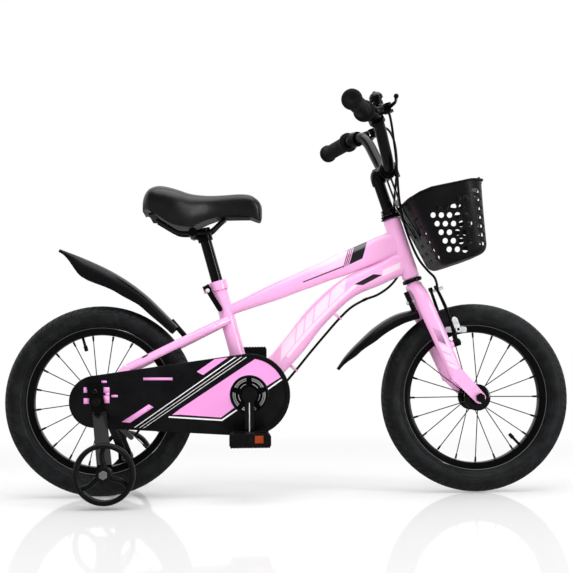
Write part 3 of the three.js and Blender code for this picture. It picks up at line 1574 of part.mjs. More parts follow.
function shareAt(shares, along) {
  const place = along * (shares.length - 1);
  const before = Math.min(Math.floor(place), shares.length - 2);
  return THREE.MathUtils.lerp(shares[before], shares[before + 1], place - before);
}

function fender(spine, fullSkirt, skirtShares) {
  const path = new THREE.CatmullRomCurve3(spine, false, 'centripetal');
  const rings = [];
  const steps = 8;
  for (let s = 0; s <= steps; s += 1) {
    const share = s / steps;
    const centre = path.getPoint(share);
    const ahead = path.getTangent(share);
    const out = ahead.clone().cross(leftward).normalize();
    const skirt = fullSkirt * shareAt(skirtShares, share);
    const width = fenderHalfWidth * shareAt(fenderWidthShares, share);
    const outer = [[-1, -skirt], [-1, -fenderCrown], [-fenderShoulderShare, -fenderCrown / 3],
      [0, 0], [fenderShoulderShare, -fenderCrown / 3], [1, -fenderCrown], [1, -skirt]];
    const inner = outer.map(([share1, drop], i) => {
      const ends = i === 0 || i === outer.length - 1;
      return [share1 * (1 - fenderWall / width), ends ? drop : drop - fenderWall];
    }).reverse();
    rings.push([...outer, ...inner].map(([wide, drop]) => centre.clone()
      .addScaledVector(leftward, wide * width)
      .addScaledVector(out, drop)));
  }
  return loft(rings);
}


// Each fender's middle line from its wheel's axle, tip first, as shares of the tyre's radius
const rearFenderShares = [
  [-0.4421, 1.6079], [-0.1517, 1.4921], [0.1472, 1.3455], [0.4472, 1.1354], [0.8146, 0.7753],
];
const frontFenderShares = [
  [-1.4713, 0.3169], [-1.3803, 0.4472], [-1.2371, 0.5978], [-1.0337, 0.7747],
  [-0.8292, 0.8899], [-0.618, 0.9461],
];
const rearSkirtShares = [0.5, 0.9, 1, 0.8, 0.6];
const frontSkirtShares = [0.455, 0.818, 1, 1, 0.909];
const fenderWidthShares = [0.71, 0.903, 1, 1, 0.935];

const fenderSpine = (shares) => shares.map(([forwardShare, riseShare]) => {
  return point(forwardShare * tyreRadius, 0, riseShare * tyreRadius);
});

function rearFender() {
  const spine = fenderSpine(rearFenderShares);
  const strip = fender(spine, rearFenderSkirt, rearSkirtShares);
  const bridge = point(crankX - stayBridgeBack - rearAxleX, 0,
    crankHeight + stayBridgeHeight - tyreRadius);
  const end = spine[spine.length - 2].clone().lerp(spine[spine.length - 1], fenderTabShare);
  const tab = rod(end, bridge, fenderTabRadius, 8);
  const clear = crossRod(bridge.x, bridge.z, -fenderHalfWidth * 2, fenderHalfWidth * 2,
    stayBridgeRadius + seatGap, 14);
  return cut(strip.add(tab), clear);
}

function frontFender() {
  const spine = fenderSpine(frontFenderShares);
  const strip = fender(spine, frontFenderSkirt, frontSkirtShares);
  const inverse = frontWheel.matrixWorld.clone().invert();
  const crownFace = inBike(steering, -cupRadius, 0, -crownTop - fenderTabDrop);
  const crown = crownFace.clone().applyMatrix4(inverse);
  const end = spine[spine.length - 1];
  const tab = rod(end, crown, fenderTabRadius, 8);
  const crownRoom = intoGroup(frontWheel, steering, rod(point(0, 0, -forkCrownDrop
    - forkCrownSpread - cutOverrun), point(0, 0, 0), cupRadius, 14));
  return cut(strip.add(tab), crownRoom);
}

const intoGroup = (group, from, solid) => {
  const way = group.matrixWorld.clone().invert().multiply(from.matrixWorld);
  return solidOf(geometryOf(solid).applyMatrix4(way));
};

addPiece(rearWheel, 'rear_fender', rearFender(), 'black');
addPiece(frontWheel, 'front_fender', frontFender(), 'black');

// Stem, handlebar and grips

function stem() {
  const top = barRise + stemHeadRadius / 2;
  const quill = rod(point(0, 0, quillFoot), point(0, 0, barRise), quillRadius, 14);
  const head = rod(point(0, 0, barRise - stemClampRadius), point(0, 0, top), stemHeadRadius, 14);
  const clampRing = crossRod(barForward, barRise, -stemClampHalfWidth, stemClampHalfWidth,
    stemClampRadius, 14);
  const bolt = rod(point(0, 0, top), point(0, 0, top + stemBoltRadius), stemBoltRadius, 6);
  const pinch = rod(point(barForward + stemClampRadius, 0, barRise - stemClampRadius),
    point(barForward + stemClampRadius, 0, barRise + stemClampRadius / 2), stemBoltRadius, 8);
  const bore = crossRod(barForward, barRise, -stemClampHalfWidth - cutOverrun,
    stemClampHalfWidth + cutOverrun, barRadius + 2 * seatGap, 14);
  return cut(join(quill, head, clampRing, bolt, pinch), bore);
}

// One half of the handlebar's middle line, from the stem to the bar's end: how far back, out and up
const barHalfShares = [
  [0, 0, 0], [0, 0.0826, 0], [0, 0.1157, 0.0141], [0, 0.1736, 0.1127], [0.008, 0.2562, 0.3944],
  [0.024, 0.3471, 0.7136], [0.096, 0.405, 0.8545], [0.256, 0.4793, 0.9108],
  [0.448, 0.5537, 0.9343], [0.5032, 0.5983, 0.9408], [1, 1, 1],
];
const barPlace = (place, side) => {
  const [backShare, outShare, upShare] = barHalfShares[place];
  return point(barForward - backShare * barSweep, side * outShare * barHalfWidth,
    barRise + upShare * barTopRise);
};
const barEnd = barHalfShares.length - 1;

function barPoints() {
  const left = barHalfShares.map((_, place) => barPlace(place, 1));
  const right = barHalfShares.map((_, place) => barPlace(place, -1)).slice(1).reverse();
  return [...right, ...left];
}

function handlebar() {
  return bentTube(barPoints(), barRadius, barSides, barSteps);
}

function grip(side) {
  const start = barPlace(gripPlace, side);
  const heading = barPlace(barEnd, side).sub(start).normalize();
  const along = (distance) => start.clone().addScaledVector(heading, distance);
  const reach = barHalfWidth + gripOverhang - Math.abs(start.y);
  const length = reach / Math.abs(heading.y);
  const tube = rod(along(gripSetOut), along(length), gripRadius, 8);
  const flange = rod(along(gripSetOut), along(gripSetOut + gripFlange), gripFlangeRadius, 10);
  const end = rod(along(length - gripFlange), along(length), gripEndRadius, 10);
  const bore = rod(along(-gripSetOut), along(length - gripFlange / 2), barRadius + gripPlay, 10);
  return cut(join(tube, flange, end), bore);
}

addPiece(steering, 'stem', stem(), 'gloss');
addPiece(steering, 'handlebar', handlebar(), 'black');
for (const [side, word] of [[-1, 'right'], [1, 'left']]) {
  addPiece(steering, `grip_${word}`, grip(side), 'rubber');
}

// Brake levers on their brackets

const leverBandShares = [0.272, 0.4835, 0.9127];

function leverBandCentre(side) {
  const [backShare, outShare, upShare] = leverBandShares;
  return point(barForward - backShare * barSweep, side * outShare * barHalfWidth,
    barRise + upShare * barTopRise);
}

function leverPivotPlace(side) {
  const centre = leverBandCentre(side);
  return point(centre.x + leverPivotForward, centre.y - side * leverPivotInset,
    centre.z - leverPivotDrop);
}

function leverBracket(side) {
  const centre = leverBandCentre(side);
  const axis = barPlace(gripPlace, side).sub(barPlace(gripPlace - 2, side)).normalize();
  const ringFrom = centre.clone().addScaledVector(axis, -leverBandHalf);
  const ringTo = centre.clone().addScaledVector(axis, leverBandHalf);
  const band = rod(ringFrom, ringTo, leverBandRadius, 10);
  const pivot = leverPivotPlace(side);
  const neck = rod(centre, pivot, leverNeckRadius, 8);
  const fork = rod(pivot.clone().addScaledVector(up, -leverCheek),
    pivot.clone().addScaledVector(up, leverCheek), leverNeckRadius, 10);
  const slot = new THREE.BoxGeometry(leverSlotReach, leverSlotReach, 2 * leverBladeHalf
    + 2 * runningGap);
  slot.translate(pivot.x + leverSlotReach / 2 - leverNeckRadius, pivot.y + side
    * leverSlotReach * leverSlotShare, pivot.z);
  const bore = bentTube(barPoints(), barRadius + seatGap, barSides, barSteps);
  const barrel = rod(point(pivot.x, pivot.y - side * leverNeckRadius * barrelShare, pivot.z),
    point(pivot.x, pivot.y - side * barrelReach, pivot.z), barrelRadius, 8);
  return cut(join(cut(join(band, neck, fork), solidOf(slot)), barrel), bore);
}

function brakeLever(side) {
  const path = new THREE.CatmullRomCurve3(leverShares.map(([bowShare, reachShare]) => {
    return point(bowShare * leverBow, side * reachShare * leverReach, 0);
  }));
  const rings = [];
  const steps = 7;
  for (let s = 0; s <= steps; s += 1) {
    const centre = path.getPoint(s / steps);
    rings.push([[1, 1], [1, -1], [-1, -1], [-1, 1]].map(([wide, thick]) => point(
      centre.x + thick * leverBladeThick, centre.y, wide * leverBladeHalf,
    )));
  }
  const blade = loft(rings);
  const hub = rod(point(0, 0, -leverBladeHalf), point(0, 0, leverBladeHalf),
    leverHubRadius, 12);
  return blade.add(hub);
}

// A lever's bow ahead of its pivot and its reach along the grip
const leverShares = [[0, 0], [0.556, 0.174], [1, 0.413], [0.667, 0.717], [0.333, 1]];

for (const [side, word] of [[-1, 'right'], [1, 'left']]) {
  addPiece(steering, `lever_bracket_${word}`, leverBracket(side), 'black');
  const pivot = leverPivotPlace(side);
  const leverGroup = carrier(steering, pivot.x, pivot.y, pivot.z);
  addPiece(leverGroup, `brake_lever_${word}`, brakeLever(side), 'black');
}

// Basket: tapered walls with rows of slots, an open top and a floor

function basketRing(share, inset) {
  const half = THREE.MathUtils.lerp(basketBottomWidth, basketTopWidth, share) / 2 - inset;
  const rear = THREE.MathUtils.lerp(basketBottomRear, basketTopRear, share) + inset;
  const front = THREE.MathUtils.lerp(basketBottomFront, basketTopFront, share) - inset;
  const round = basketCornerRadius - inset;
  const corners = [];
  for (const [x, y, from] of [[front, half, 0], [rear, half, 1], [rear, -half, 2], [front, -half, 3]]) {
    const centreX = x - Math.sign(x - (front + rear) / 2) * round;
    const centreY = y - Math.sign(y) * round;
    for (let i = 0; i <= basketCornerSteps; i += 1) {
      const angle = (turn / 4) * (from + i / basketCornerSteps);
      corners.push(point(centreX + round * Math.cos(angle), centreY + round * Math.sin(angle),
        share * basketHeight));
    }
  }
  return corners;
}

function basket() {
  const bandShare = (basketHeight - basketBand) / basketHeight;
  const overShare = (basketHeight + cutOverrun) / basketHeight;
  const shell = loft([basketRing(0, 0), basketRing(1, 0)]);
  const band = loft([basketRing(bandShare, -basketRimProud), basketRing(1, -basketRimProud)]);
  const room = loft([basketRing(basketWall / basketHeight, basketWall),
    basketRing(overShare, basketWall)]);
  let whole = cut(shell.add(band), room);
  for (const z of slotRowShares) {
    const height = z * basketHeight;
    for (let i = 0; i < slotsAcross; i += 1) {
      const y = ((i + 1 / 2) / slotsAcross - 1 / 2) * (basketBottomWidth - basketCornerRadius);
      const through = new THREE.BoxGeometry(2 * basketTopFront, slotWidth, slotHeight);
      whole = cut(whole, solidOf(moved(through, 2 * basketBottomRear, y, height)));
    }
    for (let i = 0; i < slotsAlong; i += 1) {
      const x = THREE.MathUtils.lerp(basketBottomRear + basketCornerRadius / 2,
        basketBottomFront - basketCornerRadius / 2, (i + 1 / 2) / slotsAlong);
      const across = new THREE.BoxGeometry(slotWidth, 2 * basketTopWidth, slotHeight);
      whole = cut(whole, solidOf(moved(across, x, 0, height)));
    }
  }
  return whole;
}

const slotRowShares = [0.22, 0.56];

addPiece(steering, 'basket', basket(), 'black');

// Two strips hang from loops round the handlebar and hold the back of the basket
function basketBracket() {
  const places = [[bracketTopForward, barRise - bracketLoopRadius + bracketStripThick],
    [bracketRimForward, basketHeight], [bracketBandForward, basketHeight - basketBand],
    [bracketFootForward, basketHeight / 2]];
  let whole = null;
  for (const side of [-1, 1]) {
    const middle = side * bracketStripSpread;
    const strip = loft(places.map(([x, z]) => [[1, 1], [1, -1], [-1, -1], [-1, 1]].map(
      ([wide, thick]) => point(x + thick * bracketStripThick, middle
        + wide * bracketStripHalf, z),
    )));
    const loop = crossRod(barForward, barRise, middle - bracketStripHalf,
      middle + bracketStripHalf, bracketLoopRadius, 12);
    whole = whole ? join(whole, strip, loop) : strip.add(loop);
  }
  const tie = new THREE.BoxGeometry(2 * bracketStripThick, 2 * bracketStripSpread,
    bracketTieHeight);
  whole = whole.add(solidOf(moved(tie, bracketRimForward, 0,
    basketHeight + bracketTieHeight / 2)));
  const barRoom = bentTube(barPoints(), barRadius + seatGap, barSides, barSteps);
  return cut(whole, barRoom);
}

addPiece(steering, 'basket_bracket', basketBracket(), 'black');

// Brake cables, with their routes as hand-placed points

const routePoints = (route) => route.map(([x, y, z]) => point(x, y, z));

addPiece(steering, 'front_brake_cable', bentTube(routePoints(frontCableRoute), cableRadius,
  cableSides, 22), 'rubber');
addPiece(steering, 'bar_brake_cable', bentTube(routePoints(barCableRoute), cableRadius,
  cableSides, 22), 'rubber');
addPiece(bike, 'rear_brake_cable', bentTube(routePoints(rearCableRoute), cableRadius,
  cableSides, 22), 'rubber');

// Bell on the handlebar's right bend

// The cap's profile as shares of its radius and height
const bellCapShares = [[0, 1], [0.6, 0.85], [1, 0.35], [1, 0], [0, 0]];

function bellFoot() {
  return barPlace(bellPlace, -1).lerp(barPlace(bellPlace + 1, -1), bellPlaceShare);
}

// A place on the bell's upright axis, at a height over its foot
function bellAxis(height) {
  return bellFoot().add(point(bellAhead, 0, height));
}

function bell() {
  const foot = bellFoot();
  const along = barPlace(bellPlace + 1, -1).sub(barPlace(bellPlace, -1)).normalize();
  const band = rod(foot.clone().addScaledVector(along, -leverBandHalf / 2),
    foot.clone().addScaledVector(along, leverBandHalf / 2), leverBandRadius, 9);
  const base = bellAxis(bellRise);
  const eyeFloor = bellAxis(bellRise - 2 * bellLeverHalf);
  const collarFoot = bellAxis(bellRise - 2 * bellLeverHalf - bellCollar);
  const slant = rod(foot, collarFoot, bellPostRadius, 8);
  const collar = rod(collarFoot, eyeFloor, bellEyeRadius, 10);
  const post = rod(collarFoot, base, bellPostRadius, 8);
  const dome = turned(bellCapShares.map(([outShare, upShare]) => {
    return [outShare * bellRadius, upShare * bellDomeHeight];
  }), 16);
  const domeAt = solidOf(geometryOf(dome).rotateX(turn / 4).translate(base.x, base.y, base.z));
  const barRoom = bentTube(barPoints(), barRadius + seatGap, barSides, barSteps);
  return cut(join(band, slant, collar, post, domeAt), barRoom);
}

function bellLever() {
  const blade = new THREE.BoxGeometry(bellLeverReach, 2 * bellLeverHalf, bellLeverHalf);
  const arm = solidOf(moved(blade, -bellLeverReach / 2 - bellPostRadius - runningGap, 0, 0));
  const eye = uprightRing(bellPostRadius + runningGap, bellEyeRadius, -bellLeverHalf / 2,
    bellLeverHalf / 2, 12);
  return arm.add(eye);
}

addPiece(steering, 'bell', bell(), 'smoke');
const bellLeverPlace = bellAxis(bellRise - bellLeverHalf);
const bellLeverGroup = carrier(steering, bellLeverPlace.x, bellLeverPlace.y, bellLeverPlace.z);
addPiece(bellLeverGroup, 'bell_lever', bellLever(), 'smoke');

export default bike;
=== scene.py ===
# %% [markdown]
# This notebook dresses a child's bicycle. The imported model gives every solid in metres, with
# +X forward, +Y to the rider's left and +Z up, and the origin on the ground midway between the
# axles. New pieces are drawn in millimetres round the same axles and lines, so they fit it.
# %% Load the model and keep its box
import math

import bmesh
import bpy
from mathutils import Matrix, Vector


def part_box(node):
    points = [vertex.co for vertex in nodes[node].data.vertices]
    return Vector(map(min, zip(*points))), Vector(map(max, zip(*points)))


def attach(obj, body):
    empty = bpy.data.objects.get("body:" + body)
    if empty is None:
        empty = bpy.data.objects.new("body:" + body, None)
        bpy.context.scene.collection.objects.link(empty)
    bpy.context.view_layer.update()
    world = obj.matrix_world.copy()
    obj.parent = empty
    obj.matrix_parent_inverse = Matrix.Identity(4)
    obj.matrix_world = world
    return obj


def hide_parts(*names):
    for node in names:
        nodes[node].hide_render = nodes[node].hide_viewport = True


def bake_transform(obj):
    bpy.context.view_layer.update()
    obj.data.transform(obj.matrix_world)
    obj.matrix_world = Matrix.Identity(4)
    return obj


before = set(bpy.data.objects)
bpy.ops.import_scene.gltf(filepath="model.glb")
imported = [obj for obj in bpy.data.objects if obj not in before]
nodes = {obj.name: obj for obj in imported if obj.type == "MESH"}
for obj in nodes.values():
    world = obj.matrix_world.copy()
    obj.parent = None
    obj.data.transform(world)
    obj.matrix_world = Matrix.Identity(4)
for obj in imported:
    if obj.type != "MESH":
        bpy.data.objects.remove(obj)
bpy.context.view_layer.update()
MM = 0.001
SIDES = (("right", -1), ("left", 1))
UP = Vector((0, 0, 1))
LEFT = Vector((0, 1, 0))
FORWARD = Vector((1, 0, 0))

# %% [markdown]
# A material is easiest to read as arithmetic. The class below wraps a socket so that ordinary
# operators add Math nodes, with numbers on either side. Any other node comes from one method
# that sets its settings first and then its sockets, by value or by link.
# %% Shader arithmetic
class Shade:
    """A socket of one material's node tree, with operators that add Math nodes."""

    def __init__(self, tree, socket):
        self.tree = tree
        self.socket = socket

    def node(self, kind, settings=None, sockets=None, out=0):
        made = self.tree.nodes.new(kind)
        for name, value in (settings or {}).items():
            setattr(made, name, value)
        for name, value in (sockets or {}).items():
            if isinstance(value, Shade):
                self.tree.links.new(value.socket, made.inputs[name])
            else:
                made.inputs[name].default_value = value
        return Shade(self.tree, made.outputs[out])

    def math(self, operation, *values):
        sockets = dict(enumerate((self,) + values))
        return self.node("ShaderNodeMath", {"operation": operation}, sockets)

    def __add__(self, other):
        return self.math("ADD", other)

    def __sub__(self, other):
        return self.math("SUBTRACT", other)

    def __mul__(self, other):
        return self.math("MULTIPLY", other)

    def __rsub__(self, other):
        return self * -1 + other

    def smooth(self, low, high):
        sockets = {"Value": self, "From Min": low, "From Max": high}
        return self.node("ShaderNodeMapRange", {"interpolation_type": "SMOOTHSTEP"}, sockets)

    def between(self, low, high, soft=0.0003):
        return self.smooth(low - soft, low + soft) * (1 - self.smooth(high - soft, high + soft))

    def bands(self, *ranges):
        """One inside any of the ranges, nought between them."""
        first, *others = [self.between(low, high) for low, high in ranges]
        return sum(others, first)

    def mix(self, first, second):
        return self.node("ShaderNodeMix", {"data_type": "RGBA"},
                         {0: self, 6: first, 7: second}, out=2)


class Finish:
    """One material: a Principled shader with a place to read and detail to add."""

    def __init__(self, name):
        self.material = bpy.data.materials.new(name)
        self.material.use_nodes = True
        self.tree = self.material.node_tree
        self.tree.nodes.clear()
        self.shader = self.tree.nodes.new("ShaderNodeBsdfPrincipled")
        self.output = self.tree.nodes.new("ShaderNodeOutputMaterial")
        self.show(Shade(self.tree, self.shader.outputs[0]))
        place = self.tree.nodes.new("ShaderNodeTexCoord")
        self.place = Shade(self.tree, place.outputs["Object"])

    def show(self, shader):
        self.tree.links.new(shader.socket, self.output.inputs[0])

    def axes(self):
        return [self.place.node("ShaderNodeSeparateXYZ", None, {0: self.place}, i)
                for i in range(3)]

    def noise(self, scale, detail=3.0, roughness=0.5):
        sockets = {"Vector": self.place, "Scale": scale, "Detail": detail, "Roughness": roughness}
        return self.place.node("ShaderNodeTexNoise", None, sockets)

    def cells(self, scale):
        sockets = {"Vector": self.place, "Scale": scale}
        return self.place.node("ShaderNodeTexVoronoi", None, sockets)

    def set(self, **values):
        for name, value in values.items():
            socket = self.shader.inputs[name.replace("_", " ")]
            if isinstance(value, Shade):
                self.tree.links.new(value.socket, socket)
            else:
                socket.default_value = value
        return self

    def bump(self, height, strength, distance):
        sockets = {"Height": height, "Strength": strength, "Distance": distance}
        return self.set(Normal=height.node("ShaderNodeBump", None, sockets))


def rgba(hex_text):
    """A colour as Blender stores it, from its usual six hex digits."""
    parts = [int(hex_text[i:i + 2], 16) / 255 for i in (0, 2, 4)]
    line = [c / 12.92 if c <= 0.04045 else ((c + 0.055) / 1.055) ** 2.4 for c in parts]
    return (*line, 1.0)


# %% [markdown]
# Painted steel is a smooth base under a clear coat: the colour barely varies, the coat is sharp,
# and a very fine ripple, called orange peel, keeps it from looking like glass.
# %% Paint, metal, plastic and rubber
def scaled(colour, share):
    return tuple(c * share for c in colour[:3]) + (1.0,)


def clouded(finish, colour):
    """A colour that is very slightly darker in soft clouds."""
    return finish.noise(9.0).smooth(0.3, 0.7).mix(scaled(colour, 0.95), colour)


def gloss_paint(name, colour, coat, roughness, specular=0.5):
    finish = Finish(name)
    finish.set(Base_Color=clouded(finish, colour), Roughness=roughness,
               Specular_IOR_Level=specular, Coat_Weight=coat, Coat_Roughness=0.06)
    finish.bump(finish.noise(420.0, 1.0), 0.04, 0.001)
    return finish


def moulded(name, colour, roughness, grain=900.0, strength=0.12):
    """Injection-moulded plastic: a fine leather-like grain and a soft sheen."""
    finish = Finish(name)
    wear_and_highlight_fade = finish.noise(34.0, 4.0).smooth(0.35, 0.75)
    finish.set(Base_Color=wear_and_highlight_fade.mix(colour, scaled(colour, 1.5)),
               Roughness=wear_and_highlight_fade * 0.1 + roughness, Specular_IOR_Level=0.2)
    finish.bump(finish.noise(grain, 2.0), strength, 0.0006)
    return finish


def metal(name, colour, roughness, streak=0.06):
    finish = Finish(name)
    marks = finish.noise(260.0, 4.0, 0.7)
    finish.set(Base_Color=colour, Metallic=1.0, Roughness=marks * streak + roughness)
    finish.bump(marks, 0.03, 0.0005)
    return finish


def tyre_rubber(name):
    """Tyre rubber is dull and dusty, and greyer where the mould left its bloom."""
    finish = Finish(name)
    bloom = finish.noise(55.0, 5.0, 0.65).smooth(0.35, 0.8)
    finish.set(Base_Color=bloom.mix(rgba("0f1011"), rgba("212325")), Roughness=0.55,
               Specular_IOR_Level=0.3)
    finish.bump(finish.noise(700.0, 3.0), 0.25, 0.0006)
    return finish


frame_colour = rgba("FAB3E4")
satin_black = gloss_paint("satin black paint", rgba("060607"), 0.08, 0.3, 0.1)
gloss_black = gloss_paint("gloss black paint", rgba("040405"), 0.5, 0.2, 0.12)
grained_plastic = moulded("grained black plastic", rgba("0b0b0c"), 0.38)
smooth_plastic = moulded("smooth black plastic", rgba("08080a"), 0.28, 500.0, 0.05)
# The saddle's base plate plastic is darker than the other black plastics: painted shade under the
# saddle
shaded_plastic = moulded("base plate plastic", rgba("050505"), 0.5)
plain_pink = gloss_paint("gloss pink clamp paint", frame_colour, 1.0, 0.3)
soft_rubber = moulded("soft black rubber", rgba("0b0b0b"), 0.55, 1200.0, 0.2)
tyre_black = tyre_rubber("tyre rubber")
bright_steel = metal("bright plated steel", rgba("c9cacc"), 0.2)
silver = gloss_paint("silver lacquer", rgba("d6d7d9"), 0.6, 0.3)
dull_steel = metal("dull plated steel", rgba("9b9c9f"), 0.34)
chain_steel = metal("oiled chain steel", rgba("6b6257"), 0.36, 0.12)
amber = moulded("amber reflector", rgba("8a3516"), 0.18, 300.0, 0.3)
print("finishes:", len(bpy.data.materials))

# %% [markdown]
# Most of a bicycle is tube. A tube is swept here as a builder bends one: a ring is drawn once,
# then extruded from station to station, and each extrusion is turned and scaled to its place.
# A path through a few given points is smoothed with the centripetal Catmull-Rom rule.
# %% Paths and sweeps
def ease(t):
    """Runs from nought to one with a soft start and a soft end, and stays there."""
    t = min(max(t, 0), 1)
    return t * t * (3 - 2 * t)


def set_at(place, across, rise, ahead):
    """The matrix that lays the first three axes along the given ways, at a place."""
    return Matrix.Translation(place) @ Matrix((across, rise, ahead)).transposed().to_4x4()


def way_at(degrees):
    """The way that lies at an angle from forward towards up."""
    return Vector((math.cos(math.radians(degrees)), 0, math.sin(math.radians(degrees))))


def both_sides(half):
    """A profile of (radius, along) points, closed by its own mirror image."""
    return half + [(r, -a) for r, a in reversed(half)]


def smooth_path(points, steps):
    """Points along a smooth curve that passes through the given places, evenly spread."""
    points = [Vector(p) for p in points]
    ends = [points[0] * 2 - points[1], *points, points[-1] * 2 - points[-2]]
    fine = []
    for a, b, c, d in zip(ends, ends[1:], ends[2:], ends[3:]):
        ta, tb, tc = (max((q - p).length, 1e-9) ** 0.5 for p, q in ((a, b), (b, c), (c, d)))
        m1 = (b - a) / ta - (c - a) / (ta + tb) + (c - b) / tb
        m2 = (c - b) / tb - (d - b) / (tb + tc) + (d - c) / tc
        for i in range(24):
            t = i / 24
            fine.append(b * (2 * t**3 - 3 * t**2 + 1) + m1 * tb * (t**3 - 2 * t**2 + t)
                        + c * (3 * t**2 - 2 * t**3) + m2 * tb * (t**3 - t**2))
    fine.append(points[-1])
    ways = [0.0]
    for before, after in zip(fine, fine[1:]):
        ways.append(ways[-1] + (after - before).length)
    spread, at = [], 0
    for i in range(steps + 1):
        way = ways[-1] * i / steps
        while at < len(fine) - 2 and ways[at + 1] < way:
            at += 1
        part = (way - ways[at]) / max(ways[at + 1] - ways[at], 1e-9)
        spread.append(fine[at].lerp(fine[at + 1], min(part, 1.0)))
    return spread


def stations(points, half_across, half_up, across_hint=LEFT):
    """One matrix per point: its first axis lies across, its second up and its third ahead.

    Each station takes its across from the one before, so the tube never twists on itself."""
    made, across = [], across_hint
    for i, place in enumerate(points):
        ahead = (points[min(i + 1, len(points) - 1)] - points[max(i - 1, 0)]).normalized()
        across = (across - ahead * across.dot(ahead)).normalized()
        rise = ahead.cross(across)
        wide = half_across[i] if isinstance(half_across, (list, tuple)) else half_across
        tall = half_up[i] if isinstance(half_up, (list, tuple)) else half_up
        made.append(set_at(place, across * wide, rise * tall, ahead))
    return made


def sweep(bm, places, profile=None, sides=28, looped=False):
    """Draws one ring and extrudes it through every station."""
    if profile is None:
        ring = bmesh.ops.create_circle(bm, segments=sides, radius=1.0)["verts"]
        edges = list({e for v in ring for e in v.link_edges})
    else:
        ring = [bm.verts.new((x, y, 0)) for x, y in profile]
        edges = [bm.edges.new(pair) for pair in zip(ring, ring[1:] + ring[:1])]
    bmesh.ops.transform(bm, matrix=places[0], verts=ring)
    first = edges
    for before, after in zip(places, places[1:]):
        grown = bmesh.ops.extrude_edge_only(bm, edges=edges)["geom"]
        verts = [g for g in grown if isinstance(g, bmesh.types.BMVert)]
        fresh = set(verts)
        edges = [g for g in grown if isinstance(g, bmesh.types.BMEdge)
                 and g.verts[0] in fresh and g.verts[1] in fresh]
        bmesh.ops.transform(bm, matrix=after @ before.inverted(), verts=verts)
    if looped:
        bmesh.ops.bridge_loops(bm, edges=first + edges)
    else:
        bmesh.ops.holes_fill(bm, edges=first)
        bmesh.ops.holes_fill(bm, edges=edges)
    return bm


def tube(bm, points, radius, sides, steps, hint=LEFT):
    """A round tube through the points, smoothed into a number of steps."""
    return sweep(bm, stations(smooth_path(points, steps), radius * MM, radius * MM, hint),
                 sides=sides)


def hint_for(ahead):
    return LEFT if abs(Vector(ahead).normalized().y) < 0.9 else FORWARD


def bar(bm, start, end, radius, sides=24, end_radius=None):
    """A straight round bar, or a cone, with its rims slightly rounded."""
    start, end = Vector(start), Vector(end)
    ahead = end - start
    radius, last = radius * MM, (end_radius or radius) * MM
    soft = min(radius * 0.12, ahead.length * 0.2)
    path = [start, start + ahead.normalized() * soft, end - ahead.normalized() * soft, end]
    radii = [radius - soft, radius, last, last - soft]
    return sweep(bm, stations(path, radii, radii, hint_for(ahead)), sides=sides)


def spin(bm, profile, centre, axis=LEFT, steps=64):
    """Turns a closed profile of (radius, along) millimetres about an axis at the centre."""
    centre, axis = Vector(centre), Vector(axis).normalized()
    out = axis.orthogonal().normalized()
    verts = [bm.verts.new(centre + out * (r * MM) + axis * (a * MM)) for r, a in profile]
    edges = [bm.edges.new(pair) for pair in zip(verts, verts[1:] + verts[:1])]
    bmesh.ops.spin(bm, geom=verts + edges, cent=centre, axis=axis, angle=math.tau,
                   steps=steps, use_merge=True)
    return bm


def plate(bm, outline, from_y, to_y):
    """An upright plate from its outline of (x, z) places, given a thickness along Y."""
    verts = [bm.verts.new((x, from_y, z)) for x, z in outline]
    face = bm.faces.new(verts)
    grown = bmesh.ops.extrude_face_region(bm, geom=[face])["geom"]
    moved = [g for g in grown if isinstance(g, bmesh.types.BMVert)]
    bmesh.ops.translate(bm, verts=moved, vec=(0, to_y - from_y, 0))
    return bm


def bridged(bm, rings):
    """Walls between closed rings of places, one after another, and the edges of each ring."""
    loops = []
    for ring in rings:
        verts = [bm.verts.new(place) for place in ring]
        loops.append([bm.edges.new(pair) for pair in zip(verts, verts[1:] + verts[:1])])
    for low, high in zip(loops, loops[1:]):
        bmesh.ops.bridge_loops(bm, edges=low + high)
    return loops


def arc(cx, cz, radius, start, stop, steps):
    """Places round part of a circle, with angles in degrees."""
    angles = [math.radians(start + (stop - start) * i / steps) for i in range(steps + 1)]
    return [(cx + radius * math.cos(a), cz + radius * math.sin(a)) for a in angles]


def shown(name, data):
    """A new object in the scene, drawn by a mesh, a lamp, a camera or a bmesh that it uses up."""
    if isinstance(data, bmesh.types.BMesh):
        mesh = bpy.data.meshes.new(name)
        data.to_mesh(mesh)
        data.free()
        data = mesh
    made = bpy.data.objects.new(name, data)
    bpy.context.scene.collection.objects.link(made)
    return made


def dress(name, bm, body, finish, replaced=None, angle=38, bevel=0.0, mend=True):
    """Finishes a piece: faces point outwards, it is smooth but for its corners, and it rides."""
    bmesh.ops.remove_doubles(bm, verts=bm.verts, dist=1e-6)
    if mend:
        bmesh.ops.recalc_face_normals(bm, faces=bm.faces)
    piece = shown(name, bm)
    mesh = piece.data
    mesh.shade_smooth()
    mesh.set_sharp_from_angle(angle=math.radians(angle))
    if bevel:
        rounded = piece.modifiers.new("rounded edges", "BEVEL")
        rounded.width = bevel * MM
        rounded.segments = 2
        rounded.limit_method = "ANGLE"
        rounded.angle_limit = math.radians(angle)
        rounded.harden_normals = True
    mesh.materials.append(finish.material)
    if body:
        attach(piece, body)
    if replaced:
        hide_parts(replaced)
    return piece


def refine(node, finish, body, bevel, angle=38):
    """Stands in for a node with its own shape, its facets smoothed and its edges rounded."""
    bm = bmesh.new()
    bm.from_mesh(nodes[node].data)
    bmesh.ops.remove_doubles(bm, verts=bm.verts, dist=2e-6)
    bmesh.ops.dissolve_limit(bm, angle_limit=math.radians(1.0), verts=bm.verts, edges=bm.edges)
    return dress(node + "_smooth", bm, body, finish, node, angle, bevel, mend=False)


